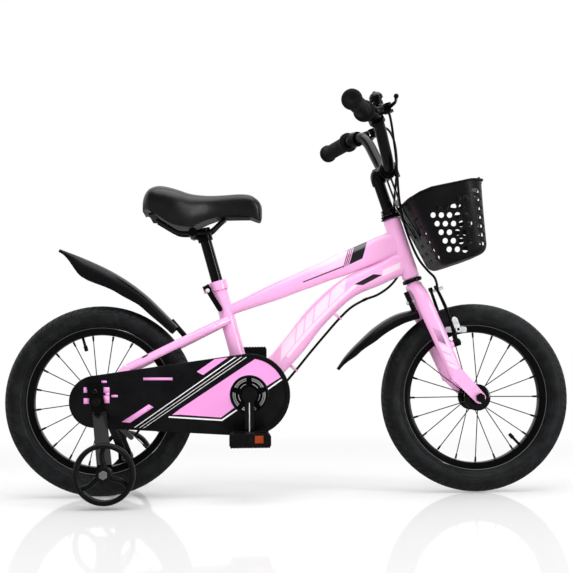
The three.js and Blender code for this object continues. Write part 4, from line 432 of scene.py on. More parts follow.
# %% [markdown]
# The steering parts are easiest to place along the steering line, so one function turns
# millimetres forward of it, to the left and up along it into a place on the bicycle.
# %% Places on the steering line
steering_tilt = math.radians(18)
steer_up = Vector((-math.sin(steering_tilt), 0, math.cos(steering_tilt)))
steer_ahead = Vector((math.cos(steering_tilt), 0, math.sin(steering_tilt)))
steer_foot = Vector((0.23659, 0, 0.40531))


def steer(x, y, z):
    return steer_foot + (steer_ahead * x + LEFT * y + steer_up * z) * MM


rear_axle = Vector((-0.3525, 0, 0.178))
front_axle = Vector((0.3525, 0, 0.178))
crank_axle = Vector((-0.076, 0, 0.188))
seat_tilt = math.radians(15.4)
seat_up = Vector((-math.sin(seat_tilt), 0, math.cos(seat_tilt)))


pivot_out, pivot_rise = 44, -142
bar_ahead, bar_rise = 22, 210
grip_root, grip_end = (-6, 134, 309.5), (-40.5, 242, 316.5)


def at(place, x, y, z):
    return Vector(place) + Vector((x, y, z)) * MM


print("steering line from", tuple(round(v, 3) for v in steer_foot))

# %% [markdown]
# The picture's camera was worked out from places on the object whose sizes are known: the two
# wheels, the guard's circles and the training wheel. Printed shapes and the basket's openings
# are placed with it, and it is the camera of the final render.
# %% The picture's camera
image_size = 573
focal = 1102.6
eye_yaw, eye_pitch, eye_roll = math.radians(2.7), math.radians(4.2), math.radians(0.51)
aim = Vector((-0.003, 0, 0.391))
look = Vector((math.sin(eye_yaw) * math.cos(eye_pitch), math.cos(eye_yaw) * math.cos(eye_pitch),
               math.sin(eye_pitch)))
eye = aim - look * 2.1
side_axis = look.cross(UP).normalized()
top_axis = side_axis.cross(look)
camera_right = side_axis * math.cos(eye_roll) - top_axis * math.sin(eye_roll)
camera_up = top_axis * math.cos(eye_roll) + side_axis * math.sin(eye_roll)


def on_plane(px, py, y):
    """The place at depth y that shows at a place of the picture."""
    ray = (look + camera_right * ((px - image_size / 2) / focal)
           - camera_up * ((py - image_size / 2) / focal))
    return eye + ray * ((y - eye.y) / ray.y)

# %% [markdown]
# The frame is welded from swaged tubes: the top tube and down tube are ovals that deepen towards
# the head, and the down tube bows upwards. Sweeping ovals with a few given heights gives that
# long flowing shape. A bead of weld lies round the seat tube's foot and round each cable hanger,
# so that they look welded instead of pushed together.
# %% Frame tubes
def share_line(start, end, shares, bows=None):
    """Places along a straight line, lifted off it by shares of its length."""
    start, end = Vector(start), Vector(end)
    span = end - start
    rise = span.cross(LEFT).normalized()
    rise = rise if rise.z > 0 else -rise
    bows = bows or [0] * len(shares)
    return [start + span * s + rise * span.length * b for s, b in zip(shares, bows)]


def spread_values(values, shares, steps):
    """Values at even steps from values given at uneven shares."""
    spread = []
    for i in range(steps + 1):
        t = i / steps
        k = max(j for j, s in enumerate(shares[:-1]) if s <= t or j == 0)
        part = ease((t - shares[k]) / (shares[k + 1] - shares[k]))
        spread.append(values[k] + (values[k + 1] - values[k]) * part)
    return spread


def frame_pink():
    """Gloss pink with dark printed stripes and pale painted highlights along the tubes, drawn by
    distance from lines.
    """
    finish = gloss_paint("gloss pink frame paint", frame_colour, 1.0, 0.3)
    x, _, z = finish.axes()

    def line(px, pz, degrees):
        """How far a point is along and above a line through (px, pz) at an angle."""
        c, s = math.cos(math.radians(degrees)), math.sin(math.radians(degrees))
        return (x - px) * c + (z - pz) * s, (z - pz) * c - (x - px) * s

    along, above = line(0.1165, 0.4311, 25.0)
    lean = along - above * 0.9
    block = lean.between(-0.001, 0.0275) * above.between(0, 0.05)
    ticks = (lean.bands((-0.0053, -0.0031), (-0.0095, -0.0073), (-0.0137, -0.0115))
             * above.between(0, 0.03))
    run, over = line(0.0277, 0.3982, 21.0)
    rule = run.between(0, 0.0824) * over.between(-0.0012, 0.0010)
    sliver_run, sliver_over = line(0.1517, 0.4020, 27.5)
    sliver_lean = sliver_run + sliver_over * 1.6
    sliver = sliver_lean.between(-0.0209, 0.0209) * sliver_over.between(-0.0045, 0.0045)
    tip_run, tip_over = line(-0.2655, 0.2640, 28.0)
    tip = (tip_run - tip_over * 0.5).between(-0.007, 0.004) * tip_over.between(-0.0045, 0.0055)
    dark = block + ticks + rule + sliver + tip
    # Painted highlight: pale streaks run along the down tube's upper edge, broken by slanted gaps
    stroke_run, stroke_over = line(0.045, 0.335, 46.0)
    bow = stroke_over + stroke_run * stroke_run * 0.55 + 0.005
    stroke_lean = stroke_run - bow * 1.4
    gaps = stroke_lean.bands((-0.056, -0.052), (-0.031, -0.027), (-0.005, -0.001),
                             (0.037, 0.041))
    strokes = (stroke_lean.between(-0.098, 0.080) * bow.between(-0.005, 0.013) * (1 - gaps)
               + stroke_run.between(-0.090, 0.100) * bow.between(-0.013, -0.0065))
    # Painted highlight: a pale wash on the top tube above the black rule
    highlight_wash = run.smooth(0, 0.07) * over.between(0.003, 0.03) * lean.between(-0.2, -0.0155)
    # Painted highlight: a pale glow on the down tube beside the dark sliver
    glow_run, glow_over = line(0.195, 0.421, 24.0)
    glow = (glow_run - glow_over * 0.6).between(-0.018, 0.02) * glow_over.between(-0.0055, 0.0055)
    # Soft noise fades the painted highlights in places; they are mixed into the pink as pale F5E8F1
    wear_and_highlight_fade = finish.noise(60.0).smooth(0.1, 0.6) * 0.3 + 0.7
    pale = (strokes * 0.75 + highlight_wash * 0.5 + glow * 0.8) * wear_and_highlight_fade
    lit = pale.mix(clouded(finish, frame_colour), rgba("F5E8F1"))
    finish.set(Base_Color=dark.mix(lit, rgba("16131a")))
    return finish


frame_paint = frame_pink()


head_tube_length = 120
head_tube_radius = 16.5
down_tube_joint = 36
down_tube_half_width = 17
down_tube_half_height = 21.5
down_tube_head_half_height = 23
top_tube_joint = 75
top_tube_seat_joint = 161
top_tube_half_height = 24
stay_joint = 145


def up_seat_tube(rise, left=0):
    """A place up the seat tube from the crank axle, in millimetres."""
    return crank_axle + seat_up * rise * MM + LEFT * left * MM


def down_tube(bm):
    shares = [0, 0.19, 0.33, 0.49, 0.7, 0.86, 1]
    bows = [0, 0.019, 0.041, 0.073, 0.079, 0.034, 0]
    heights = [share * down_tube_half_height for share in (0.86, 0.95, 1, 1, 0.95, 0.97)]
    heights.append(down_tube_head_half_height)
    steps = 40
    path = smooth_path(share_line(crank_axle, steer(0, 0, down_tube_joint), shares, bows), steps)
    tall = [h * MM for h in spread_values(heights, shares, steps)]
    sweep(bm, stations(path, down_tube_half_width * MM, tall), sides=36)


def top_tube(bm):
    shares = [0, 0.36, 0.54, 0.7, 1]
    steps = 24
    path = smooth_path(share_line(up_seat_tube(top_tube_seat_joint), steer(0, 0, top_tube_joint),
                                  shares), steps)
    tall = [top_tube_half_height * MM * h
            for h in spread_values([0.41, 0.7, 0.79, 0.93, 1], shares, steps)]
    wide = [(12 + 3 * i / steps) * MM for i in range(steps + 1)]
    sweep(bm, stations(path, wide, tall), sides=36)


def frame_tubes():
    bm = bmesh.new()
    down_tube(bm)
    top_tube(bm)
    bar(bm, crank_axle - LEFT * 34 * MM, crank_axle + LEFT * 34 * MM, 19, 40)
    bar(bm, crank_axle, up_seat_tube(220), 14.3, 36)
    return bm


def stays(bm):
    for side in (-1, 1):
        seat = up_seat_tube(stay_joint, side * 12)
        plate_end = Vector((-0.2985, side * 0.052, 0.238))
        bend = seat.lerp(plate_end, 0.3)
        bend.y = side * 0.04
        tube(bm, [seat, bend, plate_end], 8, 20, 20)
        chain_start = Vector((-0.0855, side * 0.024, 0.188))
        chain_end = Vector((-0.2985, 0, 0.178))
        spreads = [24, 31, 40, 53]
        path = []
        for share, spread in zip([0, 0.2, 0.42, 1], spreads):
            place = chain_start.lerp(chain_end, share)
            place.y = side * spread * MM
            path.append(place)
        tube(bm, path, 7, 20, 20)
    bridge = Vector((-0.19, 0, 0.292))
    bar(bm, bridge - LEFT * 0.04, bridge + LEFT * 0.04, 6, 20)
    return bm


def weld(bm, centre, axis, radius, bead):
    """A thin rippled ring about an axis, as a weld bead leaves round the foot of a tube."""
    axis = Vector(axis).normalized()
    out = axis.orthogonal().normalized()
    across = axis.cross(out)
    path = []
    for i in range(72):
        a = math.tau * i / 72
        path.append(Vector(centre) + (out * math.cos(a) + across * math.sin(a)) * radius * MM)
    swell = [bead * MM * (1 + 0.16 * math.sin(i * math.tau / 3.6)) for i in range(72)]
    places = []
    for i, place in enumerate(path):
        ahead = (path[(i + 1) % 72] - path[i - 1]).normalized()
        rise = ahead.cross(axis)
        places.append(set_at(place, axis * swell[i], rise * swell[i], ahead))
    return sweep(bm, places, sides=8, looped=True)


def dropout(bm, side):
    """The flat end that holds the rear axle, with a slot open to the rear."""
    inner, outer = side * 0.055, side * 0.060
    ax, az = rear_axle.x, rear_axle.z
    lobe = arc(ax, az, 0.011, -90, -170, 5) + [(ax - 0.0105, az - 0.0052), (ax, az - 0.0052)]
    lobe += arc(ax, az, 0.0052, -90, 90, 8)[1:-1] + [(ax, az + 0.0052), (ax - 0.0095, az + 0.0052)]
    lobe += arc(ax, az, 0.011, 150, 110, 4)
    upper = [(-0.3047, 0.2445), (-0.2922, 0.2330), (-0.3110, 0.2060), (-0.2985, 0.1860)]
    plate(bm, lobe + upper + [(-0.2985, 0.1700), (ax + 0.012, az - 0.011)], inner, outer)


frame_bm = stays(frame_tubes())
for side in (-1, 1):
    dropout(frame_bm, side)
weld(frame_bm, up_seat_tube(20), seat_up, 15, 1.6)
bar(frame_bm, steer(0, 0, 0), steer(0, 0, head_tube_length), head_tube_radius, 40)
guard_post = Vector((-0.191, 0, 0.188))
bar(frame_bm, guard_post - LEFT * 0.06, guard_post - LEFT * 0.04, 5, 16)
for stop in ((0.098, 0, 0.330), (0.014, 0.008, 0.232)):
    away = way_at(90 + 49)
    bar(frame_bm, Vector(stop) + away * 2.8 * MM, Vector(stop) + away * 24 * MM, 3, 14)
    weld(frame_bm, Vector(stop), Vector((0.65, 0, 0.76)), 3.8, 1.0)
frame_piece = dress("painted_frame", frame_bm, "frame", frame_paint, "frame", 45)
print("frame faces:", len(frame_piece.data.polygons))

# %% [markdown]
# A tyre is a round casing with a raised tread. The casing is one profile turned about the axle.
# The tread is a single slanted block, drawn once and turned round the wheel on both sides, just
# as the mould repeats it.
# %% Tyres
def tread_blocks(bm, centre):
    """Slanted shoulder bars, low and close together, repeated round the wheel on both sides."""
    count = 84
    pitch = math.tau / count
    corners = [(176.6, 2.2, 0.75), (176.2, 8, 0.85), (173.2, 14.5, 0.9), (168.3, 20.4, 0.9),
               (163.6, 24.1, 0.6)]
    for i in range(count):
        for side in (-1, 1):
            angle = pitch * (i + (0.5 if side > 0 else 0))
            lower, upper = [], []
            for step, (radius, across, rise) in enumerate(corners):
                slant = angle + side * math.radians(1.25 * step)
                half = pitch * 0.405
                for turned, ring in ((slant - half, lower), (slant + half, upper)):
                    out = Vector((math.sin(turned), 0, math.cos(turned)))
                    base = centre + (out * (radius - 2.0) + LEFT * side * across) * MM
                    tilt = (out + LEFT * side * 0.22 * step).normalized()
                    top = centre + (out * radius + LEFT * side * across) * MM + tilt * rise * MM
                    ring.append((bm.verts.new(base), bm.verts.new(top)))
            last = len(corners) - 1
            for a, b in zip(range(last), range(1, last + 1)):
                quads = [(lower[a][1], lower[b][1], upper[b][1], upper[a][1]),
                         (lower[a][0], lower[b][0], lower[b][1], lower[a][1]),
                         (upper[a][1], upper[b][1], upper[b][0], upper[a][0]),
                         (lower[b][0], lower[a][0], upper[a][0], upper[b][0])]
                for quad in quads:
                    bm.faces.new(quad)
            for end in (0, last):
                bm.faces.new((lower[end][0], lower[end][1], upper[end][1], upper[end][0]))


def tyre_piece(name, centre, body, node):
    bm = bmesh.new()
    side = [(137.2, 13.0), (140, 17.5), (146, 24.0), (152, 26.4), (158, 26.2), (163.6, 24.2),
            (168.3, 20.5), (173.2, 14.6), (176.2, 8), (176.8, 2.2)]
    spin(bm, both_sides(side), centre, LEFT, 144)
    for line_radius, wide in ((143.4, 21.2), (148.6, 24.8), (160.4, 25.0)):
        for way in (-1, 1):
            ring = [(line_radius - 0.7, way * (wide - 0.8)), (line_radius, way * (wide + 0.7)),
                    (line_radius + 0.7, way * (wide - 0.8))]
            spin(bm, ring, centre, LEFT, 144)
    tread_blocks(bm, centre)
    return dress(name, bm, body, tyre_black, node, 50)


tyre_piece("treaded_rear_tyre", rear_axle, "rear_wheel", "rear_tyre")
tyre_piece("treaded_front_tyre", front_axle, "front_wheel", "front_tyre")


# %% [markdown]
# A rim is a shallow channel, painted black, with a thin bright ring on each edge where the tyre's
# bead sits: a painted highlight. Each spoke leaves its hub flange at a hole, runs straight to the
# rim and ends in a small nipple.
# Twenty spokes alternate between the two flanges.
# %% Rims, spokes and hubs
def rim_piece(name, centre, body, node, valve_angle):
    bm = bmesh.new()
    half = [(122.6, 5), (123.6, 9.6), (128, 11.6), (132.5, 12.6), (136.2, 12.9), (136.3, 11.2),
            (133.4, 10.2), (129.5, 8.5), (127.5, 4)]
    spin(bm, both_sides(half), centre, LEFT, 120)
    out = way_at(valve_angle)
    bar(bm, centre + out * 106 * MM, centre + out * 127 * MM, 2.6, 16)
    bar(bm, centre + out * 97 * MM, centre + out * 107 * MM, 3.4, 16, 3.8)
    return dress(name, bm, body, satin_black, node, 50)


def rim_edge_highlight(name, centre, body):
    """Bright steel rings on the rim's edges beside the tyre, as a painted highlight."""
    bm = bmesh.new()
    for way in (-1, 1):
        ring = [(135.1, 12.6), (135.6, 13.5), (136.5, 13.5), (136.8, 12.4)]
        spin(bm, [(r, way * a) for r, a in ring], centre, LEFT, 144)
    return dress(name, bm, body, bright_steel, angle=50)


def wheel_hub(name, centre, body, node, first_angle):
    bm = bmesh.new()
    shell = [(36, 5.3), (36, 13.2), (33, 14), (31.6, 14.2), (31.4, 24.4), (30.9, 25), (29.1, 25),
             (28.6, 24.4), (28.4, 15.5), (24, 12.6), (0, 11.6)]
    half = [(r, a) for a, r in shell]
    spin(bm, half + [(r, -a) for r, a in reversed(half[:-1])], centre, LEFT, 48)
    spokes, hole_radius, flange_offset, nipple_radius = 20, 21.5, 30, 121.6
    for i in range(spokes):
        out = way_at(first_angle + 360 / spokes * i)
        side = -1 if i % 2 == 0 else 1
        foot = centre + (out * hole_radius + LEFT * side * flange_offset) * MM
        tip = centre + out * nipple_radius * MM
        bar(bm, foot, tip, 0.95, 10)
        bar(bm, tip - (tip - foot).normalized() * 9 * MM, tip, 1.7, 10, 2.1)
        bar(bm, foot - LEFT * 2.2 * MM, foot + LEFT * 2.2 * MM, 1.8, 10)
    return dress(name, bm, body, gloss_black, node, 45)


rim_piece("rolled_rear_rim", rear_axle, "rear_wheel", "rear_rim", 106.5)
rim_piece("rolled_front_rim", front_axle, "front_wheel", "front_rim", -46.7)
# The bright rings on both rims are a painted highlight
rim_edge_highlight("rear_rim_edge", rear_axle, "rear_wheel")
rim_edge_highlight("front_rim_edge", front_axle, "front_wheel")
wheel_hub("spoked_rear_hub", rear_axle, "rear_wheel", "rear_hub", 97.5)
wheel_hub("spoked_front_hub", front_axle, "front_wheel", "front_hub", 90)

# %% [markdown]
# Each fork leg is an oval tube that curves out of the crown, runs straight beside the wheel and
# thins towards its flat end. The two legs and the crown are one welded, painted piece.
# %% Fork
def fork_pink():
    finish = gloss_paint("gloss pink fork paint", frame_colour, 1.0, 0.3)
    x, y, z = finish.axes()
    ahead = (x - steer_foot.x) * steer_ahead.x + (z - steer_foot.z) * steer_ahead.z
    along = (z - steer_foot.z) * steer_up.z + (x - steer_foot.x) * steer_up.x
    side = y.math("ABSOLUTE").smooth(0.047, 0.052)
    shift = ahead + along * 0.09
    lean = along + shift
    block = lean.between(-0.139, -0.112) * shift.between(-0.0115, -0.0005)
    fade = 1 - along.smooth(-0.142, -0.106) * 0.6
    strokes = (lean.bands((-0.158, -0.1435), (-0.177, -0.163), (-0.190, -0.181))
               * shift.between(-0.0125, 0.0005))
    pale = (strokes * side * 0.55).mix(clouded(finish, frame_colour), rgba("FFEAF8"))
    finish.set(Base_Color=(block * side * fade * 0.85).mix(pale, rgba("4d3a52")))
    return finish


fork_paint = fork_pink()


def fork_leg(bm, side):
    """An oval tube that is deepest at its shoulder and thins over its lower half."""
    places = [steer(0, side * 9, -16), steer(1, side * 33, -34), steer(1.4, side * 44, -60),
              steer(5, side * 46, -100), steer(9, side * 46, -145), steer(14.5, side * 46, -207)]
    steps = 44
    thin = [ease((i / steps - 0.5) / 0.5) for i in range(steps + 1)]
    full = [min(1, 0.84 + 0.5 * i / steps) for i in range(steps + 1)]
    wide = [(11 - 4 * t) * MM for t in thin]
    deep = [(14.8 * f - 1.9 * t) * MM for t, f in zip(thin, full)]
    sweep(bm, stations(smooth_path(places, steps), deep, wide, steer_ahead), sides=32)


def fork_end(bm, side):
    """The flat end of a leg: a plate from its heel to the axle, with a slot open ahead."""
    heel = steer(15.5, 0, -200)
    ahead = (front_axle - heel).normalized()
    across = Vector((-ahead.z, 0, ahead.x))
    face = math.degrees(math.atan2(ahead.z, ahead.x))
    slot_half, eye_radius, heel_radius = 0.0052, 0.0112, 0.0128
    mouth = front_axle + ahead * 0.0098
    off = across * slot_half

    def eye(start, stop, steps, radius=eye_radius):
        return arc(front_axle.x, front_axle.z, radius, face + start, face + stop, steps)

    lobe = eye(-90, -22, 6)
    lobe += [(p.x, p.z) for p in (mouth - off, front_axle - off)]
    lobe += eye(-90, -270, 8, slot_half)[1:-1]
    lobe += [(p.x, p.z) for p in (front_axle + off, mouth + off)]
    lobe += eye(22, 90, 6)
    lobe += arc(heel.x, heel.z, heel_radius, face + 90, face + 270, 10)
    plate(bm, lobe, side * 0.0475, side * 0.0525)
    # Two small raised rings mark the plate's face
    for share in (0.34, 0.6):
        ring = heel.lerp(front_axle, share) + across * 0.006
        ring.y = side * 0.0523
        weld(bm, ring, LEFT, 2.1, 0.45)


def fork():
    bm = bmesh.new()
    for side in (-1, 1):
        fork_leg(bm, side)
        fork_end(bm, side)
    bar(bm, steer(0, 0, -17), steer(0, 0, 138), 12.4, 32)
    bar(bm, steer(0, 0, -22), steer(0, 0, -11.2), 16.4, 40)
    for side in (-1, 1):
        for back, ahead, radius, sides in ((8, 29, 6.2, 20), (29, 37, 4, 18)):
            bar(bm, steer(back, side * pivot_out, pivot_rise),
                steer(ahead, side * pivot_out, pivot_rise), radius, sides)
    return bm


dress("painted_fork", fork(), "steering", fork_paint, "fork", 45)

# %% [markdown]
# The handlebar is one bent tube in gloss black. The grips over its ends are soft rubber with
# raised rings and a broad flange, turned about the bar's own slanting end.
# %% Stem, handlebar and grips
bar_half = [(bar_ahead, 0, bar_rise), (bar_ahead, 20, bar_rise), (22, 28, 211.5), (22, 42, 222),
            (21.5, 62, 252), (20.5, 84, 286), (16, 98, 301), (6, 116, 307), grip_root,
            (-9.45, 144.8, 310.2), grip_end]


def handlebar():
    whole = [(x, -y, z) for x, y, z in reversed(bar_half[1:])] + bar_half
    return tube(bmesh.new(), [steer(*p) for p in whole], 11, 28, 110, steer_ahead)


dress("bent_handlebar", handlebar(), "steering", gloss_black, "handlebar")


def stem():
    bm = bmesh.new()
    bar(bm, steer(0, 0, 100), steer(0, 0, 205), 11.1, 36)
    neck = [steer(0, 0, 190), steer(0, 0, 200), steer(2, 0, 208), steer(9, 0, 210),
            steer(16, 0, 210)]
    tube(bm, neck, 13.5, 32, 18)
    profile = [(11.7, -16), (11.7, 16), (15.5, 16), (16.6, 15), (16.6, -15), (15.5, -16)]
    spin(bm, profile, steer(bar_ahead, 0, bar_rise), LEFT, 48)
    bar(bm, steer(39, 0, 193), steer(39, 0, 218), 5, 24)
    bar(bm, steer(39, 0, 216), steer(39, 0, 223), 4.1, 6)
    bar(bm, steer(0, 0, 205), steer(0, 0, 219), 9, 32, 7)
    bar(bm, steer(0, 0, 219), steer(0, 0, 221.5), 4.6, 6)
    # Height marks show as shallow rings near the foot of the quill
    for rise in range(132, 168, 6):
        weld(bm, steer(0, 0, rise), steer_up, 11.0, 0.32)
    return bm


dress("quill_stem", stem(), "steering", gloss_black, "stem")


def grip(side, word):
    bm = bmesh.new()
    start, end = (steer(x, side * y, z) for x, y, z in (grip_root, grip_end))
    heading = (end - start).normalized()
    half = [(0, 12.6), (0, 18.4), (1.2, 20), (4.8, 20), (6, 18.8), (7, 15.4)]
    for i in range(13):
        along = 10 + i * 7.0
        half += [(along, 14.6), (along + 1.2, 15.5), (along + 4.4, 15.5), (along + 5.6, 14.6)]
    half += [(104, 15.2), (106.5, 18), (108.5, 18.5), (112.5, 18.3), (114.6, 16.4), (115.6, 12),
             (115.8, 4.5), (114.4, 3.2)]
    profile = [(0.0001, 0)] + [(r, a) for a, r in half] + [(0.0001, 114.2)]
    spin(bm, profile, start + heading * 3 * MM, heading, 48)
    dress(f"ribbed_grip_{word}", bm, "steering", soft_rubber, f"grip_{word}", 50)


for word, side in SIDES:
    grip(side, word)

for word, _ in SIDES:
    refine(f"lever_bracket_{word}", satin_black, "steering", 0.7, 46)


def lever(side, word):
    """A forged lever: broad where the hand pulls, thinner at its pivot, with a balled tip."""
    bm = bmesh.new()
    pivot = steer(41, side * 108, 307)
    places = [(0, 0), (5, 16), (9, 38), (6, 66), (3, 90)]
    path = smooth_path([pivot + (steer_ahead * x + LEFT * side * y) * MM for x, y in places], 26)
    deep = [(3.4 - 0.9 * math.sin(math.pi * i / 26)) * MM for i in range(27)]
    tall = [(3.9 - 1.0 * (1 - abs(2 * i / 26 - 1))) * MM for i in range(27)]
    sweep(bm, stations(path, deep, tall, steer_ahead), sides=20)
    bmesh.ops.create_icosphere(bm, subdivisions=3, radius=4.6 * MM,
                               matrix=Matrix.Translation(path[-1] - LEFT * side * 1.5 * MM))
    bar(bm, pivot - steer_up * 3.9 * MM, pivot + steer_up * 3.9 * MM, 6, 28)
    dress(f"forged_lever_{word}", bm, f"brake_lever_{word}", satin_black, f"brake_lever_{word}",
          45)


for word, side in SIDES:
    lever(side, word)

# %% [markdown]
# A brake cable is a steel wire in a plastic sheath. Held at both ends, it keeps its route when the
# brake works. The sheath is wider at each end, where a ferrule closes it.
# %% Brake cables
front_route = [(41, -92.1, 306.8), (45, -86, 302), (45, -78, 285), (42, -66, 258), (38, -54, 228),
               (31, -45, 195), (22, -38, 156), (16, -34, 120), (15, -32, 74), (20, -31, 28),
               (28, -38, 2), (33.5, -48, -14), (33.5, -47, -28), (33.5, -36.2, -32)]
bar_route = [(41, 91.9, 307), (52, 85, 309), (64, 74, 302), (67, 60, 275), (58, 48, 235),
             (42, 40, 195), (26, 36, 160), (17, 34, 135), (14, 31, 100), (12, 29, 70),
             (2, 28, 40), (-16, 25, 16), (-40, 18, 0), (-70, 10, -9), (-96, 3, -10)]
rear_route = [(147.6, 3, 365.8), (121, 0, 351), (98, 0, 330), (72, 2, 301), (42, 6, 266),
              (14, 8, 232), (-14, 9, 200), (-42, 10, 172), (-76, 12, 160), (-112, 20, 162),
              (-150, 34, 170), (-200, 48, 168), (-250, 56, 155), (-280, 61, 128), (-296, 61, 108)]


def cable(places, steps):
    bm = tube(bmesh.new(), places, 2.35, 14, steps)
    path = smooth_path(places, steps)
    bar(bm, path[0], path[1], 2.9, 16)
    bar(bm, path[-2], path[-1], 2.9, 16)
    return bm


front_cable = cable([steer(*p) for p in front_route], 120)
dress("front_brake_sheath", front_cable, "steering", smooth_plastic, "front_brake_cable")
rear_cable = cable([Vector(p) * MM for p in rear_route], 120)
rear_sheath = dress("rear_brake_sheath", rear_cable, None, smooth_plastic, "rear_brake_cable")
bar_cable = cable([steer(*p) for p in bar_route], 140)
bar_sheath = dress("bar_brake_sheath", bar_cable, None, smooth_plastic, "bar_brake_cable")
print("cables routed")

# %% [markdown]
# The bar cable crosses the steering, whose upper part turns with the bar while its lower part stays
# on the frame, and the rear cable's end sits at the brake arm. Neither cable rides on a body here:
# their places are only baked into their meshes.
# %% Cable across the steering
tuple(steer(12, 29, 70))
tuple(steer(-96, 3, -10))
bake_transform(bar_sheath)
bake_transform(rear_sheath)

# %% [markdown]
# The fenders are moulded strips with a crowned top and turned-down sides. The section is drawn
# once, as a thin arch, and swept along the middle line, where it narrows to the tip.
# %% Fenders
def fender_section(wall):
    """A thin arch: the outside from one edge over the crown to the other, then back inside."""
    outside = [(-1.0, -1.0), (-0.99, -0.62), (-0.93, -0.34), (-0.78, -0.19), (-0.55, -0.10),
               (-0.28, -0.03), (0, 0.0), (0.28, -0.03), (0.55, -0.10), (0.78, -0.19),
               (0.93, -0.34), (0.99, -0.62), (1.0, -1.0)]
    inside = [(x * (1 - wall), y * (1 - wall) - wall * 0.8) for x, y in outside]
    inside[0] = (inside[0][0], -1.0)
    inside[-1] = (inside[-1][0], -1.0)
    return outside + list(reversed(inside))


def fender(places, skirts, widths):
    bm = bmesh.new()
    steps = 44
    path = smooth_path(places, steps)
    tall = [s * MM for s in spread_values(skirts, [i / (len(skirts) - 1) for i in
                                                   range(len(skirts))], steps)]
    wide = [w * MM for w in spread_values(widths, [i / (len(widths) - 1) for i in
                                                   range(len(widths))], steps)]
    frames = stations(path, wide, tall)
    if (frames[0].to_3x3() @ Vector((0, 1, 0))).z < 0:
        wide = [-w for w in wide]
        tall = [-t for t in tall]
        frames = stations(path, wide, tall)
    sweep(bm, frames, fender_section(0.09))
    return bm


rear_spine = [(-78.7, 286.2), (-27, 265.6), (26.2, 239.5), (79.6, 202.1), (145, 138)]
rear_fender_bm = fender([at(rear_axle, x, 0, z) for x, z in rear_spine],
                        [6, 35, 30, 23, 19], [5, 25, 31, 31, 28])
end = at(rear_axle, 131, 0, 150)
bar(rear_fender_bm, end, Vector((-0.1945, 0, 0.2965)), 5, 18)
dress("rear_mudguard", rear_fender_bm, "frame", smooth_plastic, "rear_fender",
      40)
front_spine = [(-261.9, 56.4), (-245.7, 79.6), (-220.2, 106.4), (-184, 137.9), (-147.6, 158.4),
               (-110, 168.4)]
front_fender_bm = fender([at(front_axle, x, 0, z) for x, z in front_spine],
                         [6, 15, 21, 22, 20], [7, 24, 31, 31, 29])
bar(front_fender_bm, at(front_axle, -111, 0, 165), steer(-18.6, 0, -21.5), 5, 18)
dress("front_mudguard", front_fender_bm, "steering", smooth_plastic, "front_fender",
      40)

# %% [markdown]
# A saddle is a foam pad under a stretched cover. The pad is swept from tail to nose through
# sections that widen and narrow, and its sides tuck in under the edge, where the cover is pulled
# round the base.
# %% Saddle
saddle_way = [0, 0.015, 0.06, 0.14, 0.26, 0.4, 0.54, 0.68, 0.8, 0.9, 0.965, 0.993, 1]
saddle_plan = [0.5, 0.72, 0.92, 1, 0.97, 0.8, 0.58, 0.44, 0.38, 0.355, 0.3, 0.2, 0.08]
saddle_top = [-2.1, -0.4, 0.85, 1.4, 1.05, 0.25, 0, 0.12, 0.3, 0.15, -0.65, -1.4, -2]
saddle_depth = [0.25, 0.44, 0.66, 0.86, 1.04, 1.06, 0.9, 0.82, 0.85, 0.89, 0.83, 0.68, 0.35]
section_out = [0, 0.2, 0.4, 0.6, 0.77, 0.9, 0.97, 1.0, 0.985, 0.955, 0.9, 0.86]
section_down = [0, 0.006, 0.02, 0.052, 0.11, 0.205, 0.33, 0.48, 0.64, 0.78, 0.92, 1]


def saddle_finish():
    finish = moulded("grained saddle cover", rgba("0b0b0d"), 0.3, 1400.0, 0.06)
    pores = finish.cells(900.0).smooth(0.0, 0.6)
    finish.bump(pores * 0.7 + finish.noise(130.0, 4.0) * 0.5, 0.08, 0.0005)
    finish.set(Sheen_Weight=0.04, Sheen_Roughness=0.4, Specular_IOR_Level=0.4)
    return finish


saddle_cover = saddle_finish()


def along_saddle(values, share):
    """A value along the saddle, on a smooth curve through the values at its stations."""
    slopes = []
    for k in range(len(values)):
        low, high = max(k - 1, 0), min(k + 1, len(values) - 1)
        slopes.append((values[high] - values[low]) / (saddle_way[high] - saddle_way[low]))
    k = max(j for j, stop in enumerate(saddle_way[:-1]) if stop <= share or j == 0)
    wide = saddle_way[k + 1] - saddle_way[k]
    t = min(max((share - saddle_way[k]) / wide, 0), 1)
    return ((2 * t ** 3 - 3 * t * t + 1) * values[k] + (3 * t * t - 2 * t ** 3) * values[k + 1]
            + (t ** 3 - 2 * t * t + t) * wide * slopes[k]
            + (t ** 3 - t * t) * wide * slopes[k + 1])


def saddle():
    bm = bmesh.new()
    profile = [(-o, -d) for o, d in reversed(list(zip(section_out, section_down))[1:])]
    profile += [(o, -d) for o, d in zip(section_out, section_down)]
    under = [(0.74, -1.0), (0.7, -0.93), (-0.7, -0.93), (-0.74, -1.0)]
    places = []
    shares = sorted({round(s, 4) for s in saddle_way} | {round(i / 44, 4) for i in range(45)})
    for share in shares:
        plan, rise, deep = (along_saddle(values, share)
                            for values in (saddle_plan, saddle_top, saddle_depth))
        depth = (48 + 26 * plan * plan) * deep
        centre = Vector((-48 - 226 * (1 - share), 0, 564 + 12 * rise)) * MM
        places.append(set_at(centre, LEFT * -80 * plan * MM, UP * depth * MM, FORWARD))
    sweep(bm, places, profile + under)
    bmesh.ops.remove_doubles(bm, verts=bm.verts, dist=1e-5)
    for _ in range(2):
        bmesh.ops.smooth_vert(bm, verts=bm.verts, factor=0.35, use_axis_x=True,
                              use_axis_y=True, use_axis_z=True)
    return bm


saddle_piece = dress("padded_saddle", saddle(), "seat", saddle_cover, "saddle",
                     55)
rounder = saddle_piece.modifiers.new("rounder", "SUBSURF")
rounder.levels = rounder.render_levels = 2


# The base plate takes the darker plastic as painted shade under the saddle
refine("saddle_base", shaded_plastic, "seat", 0.6)


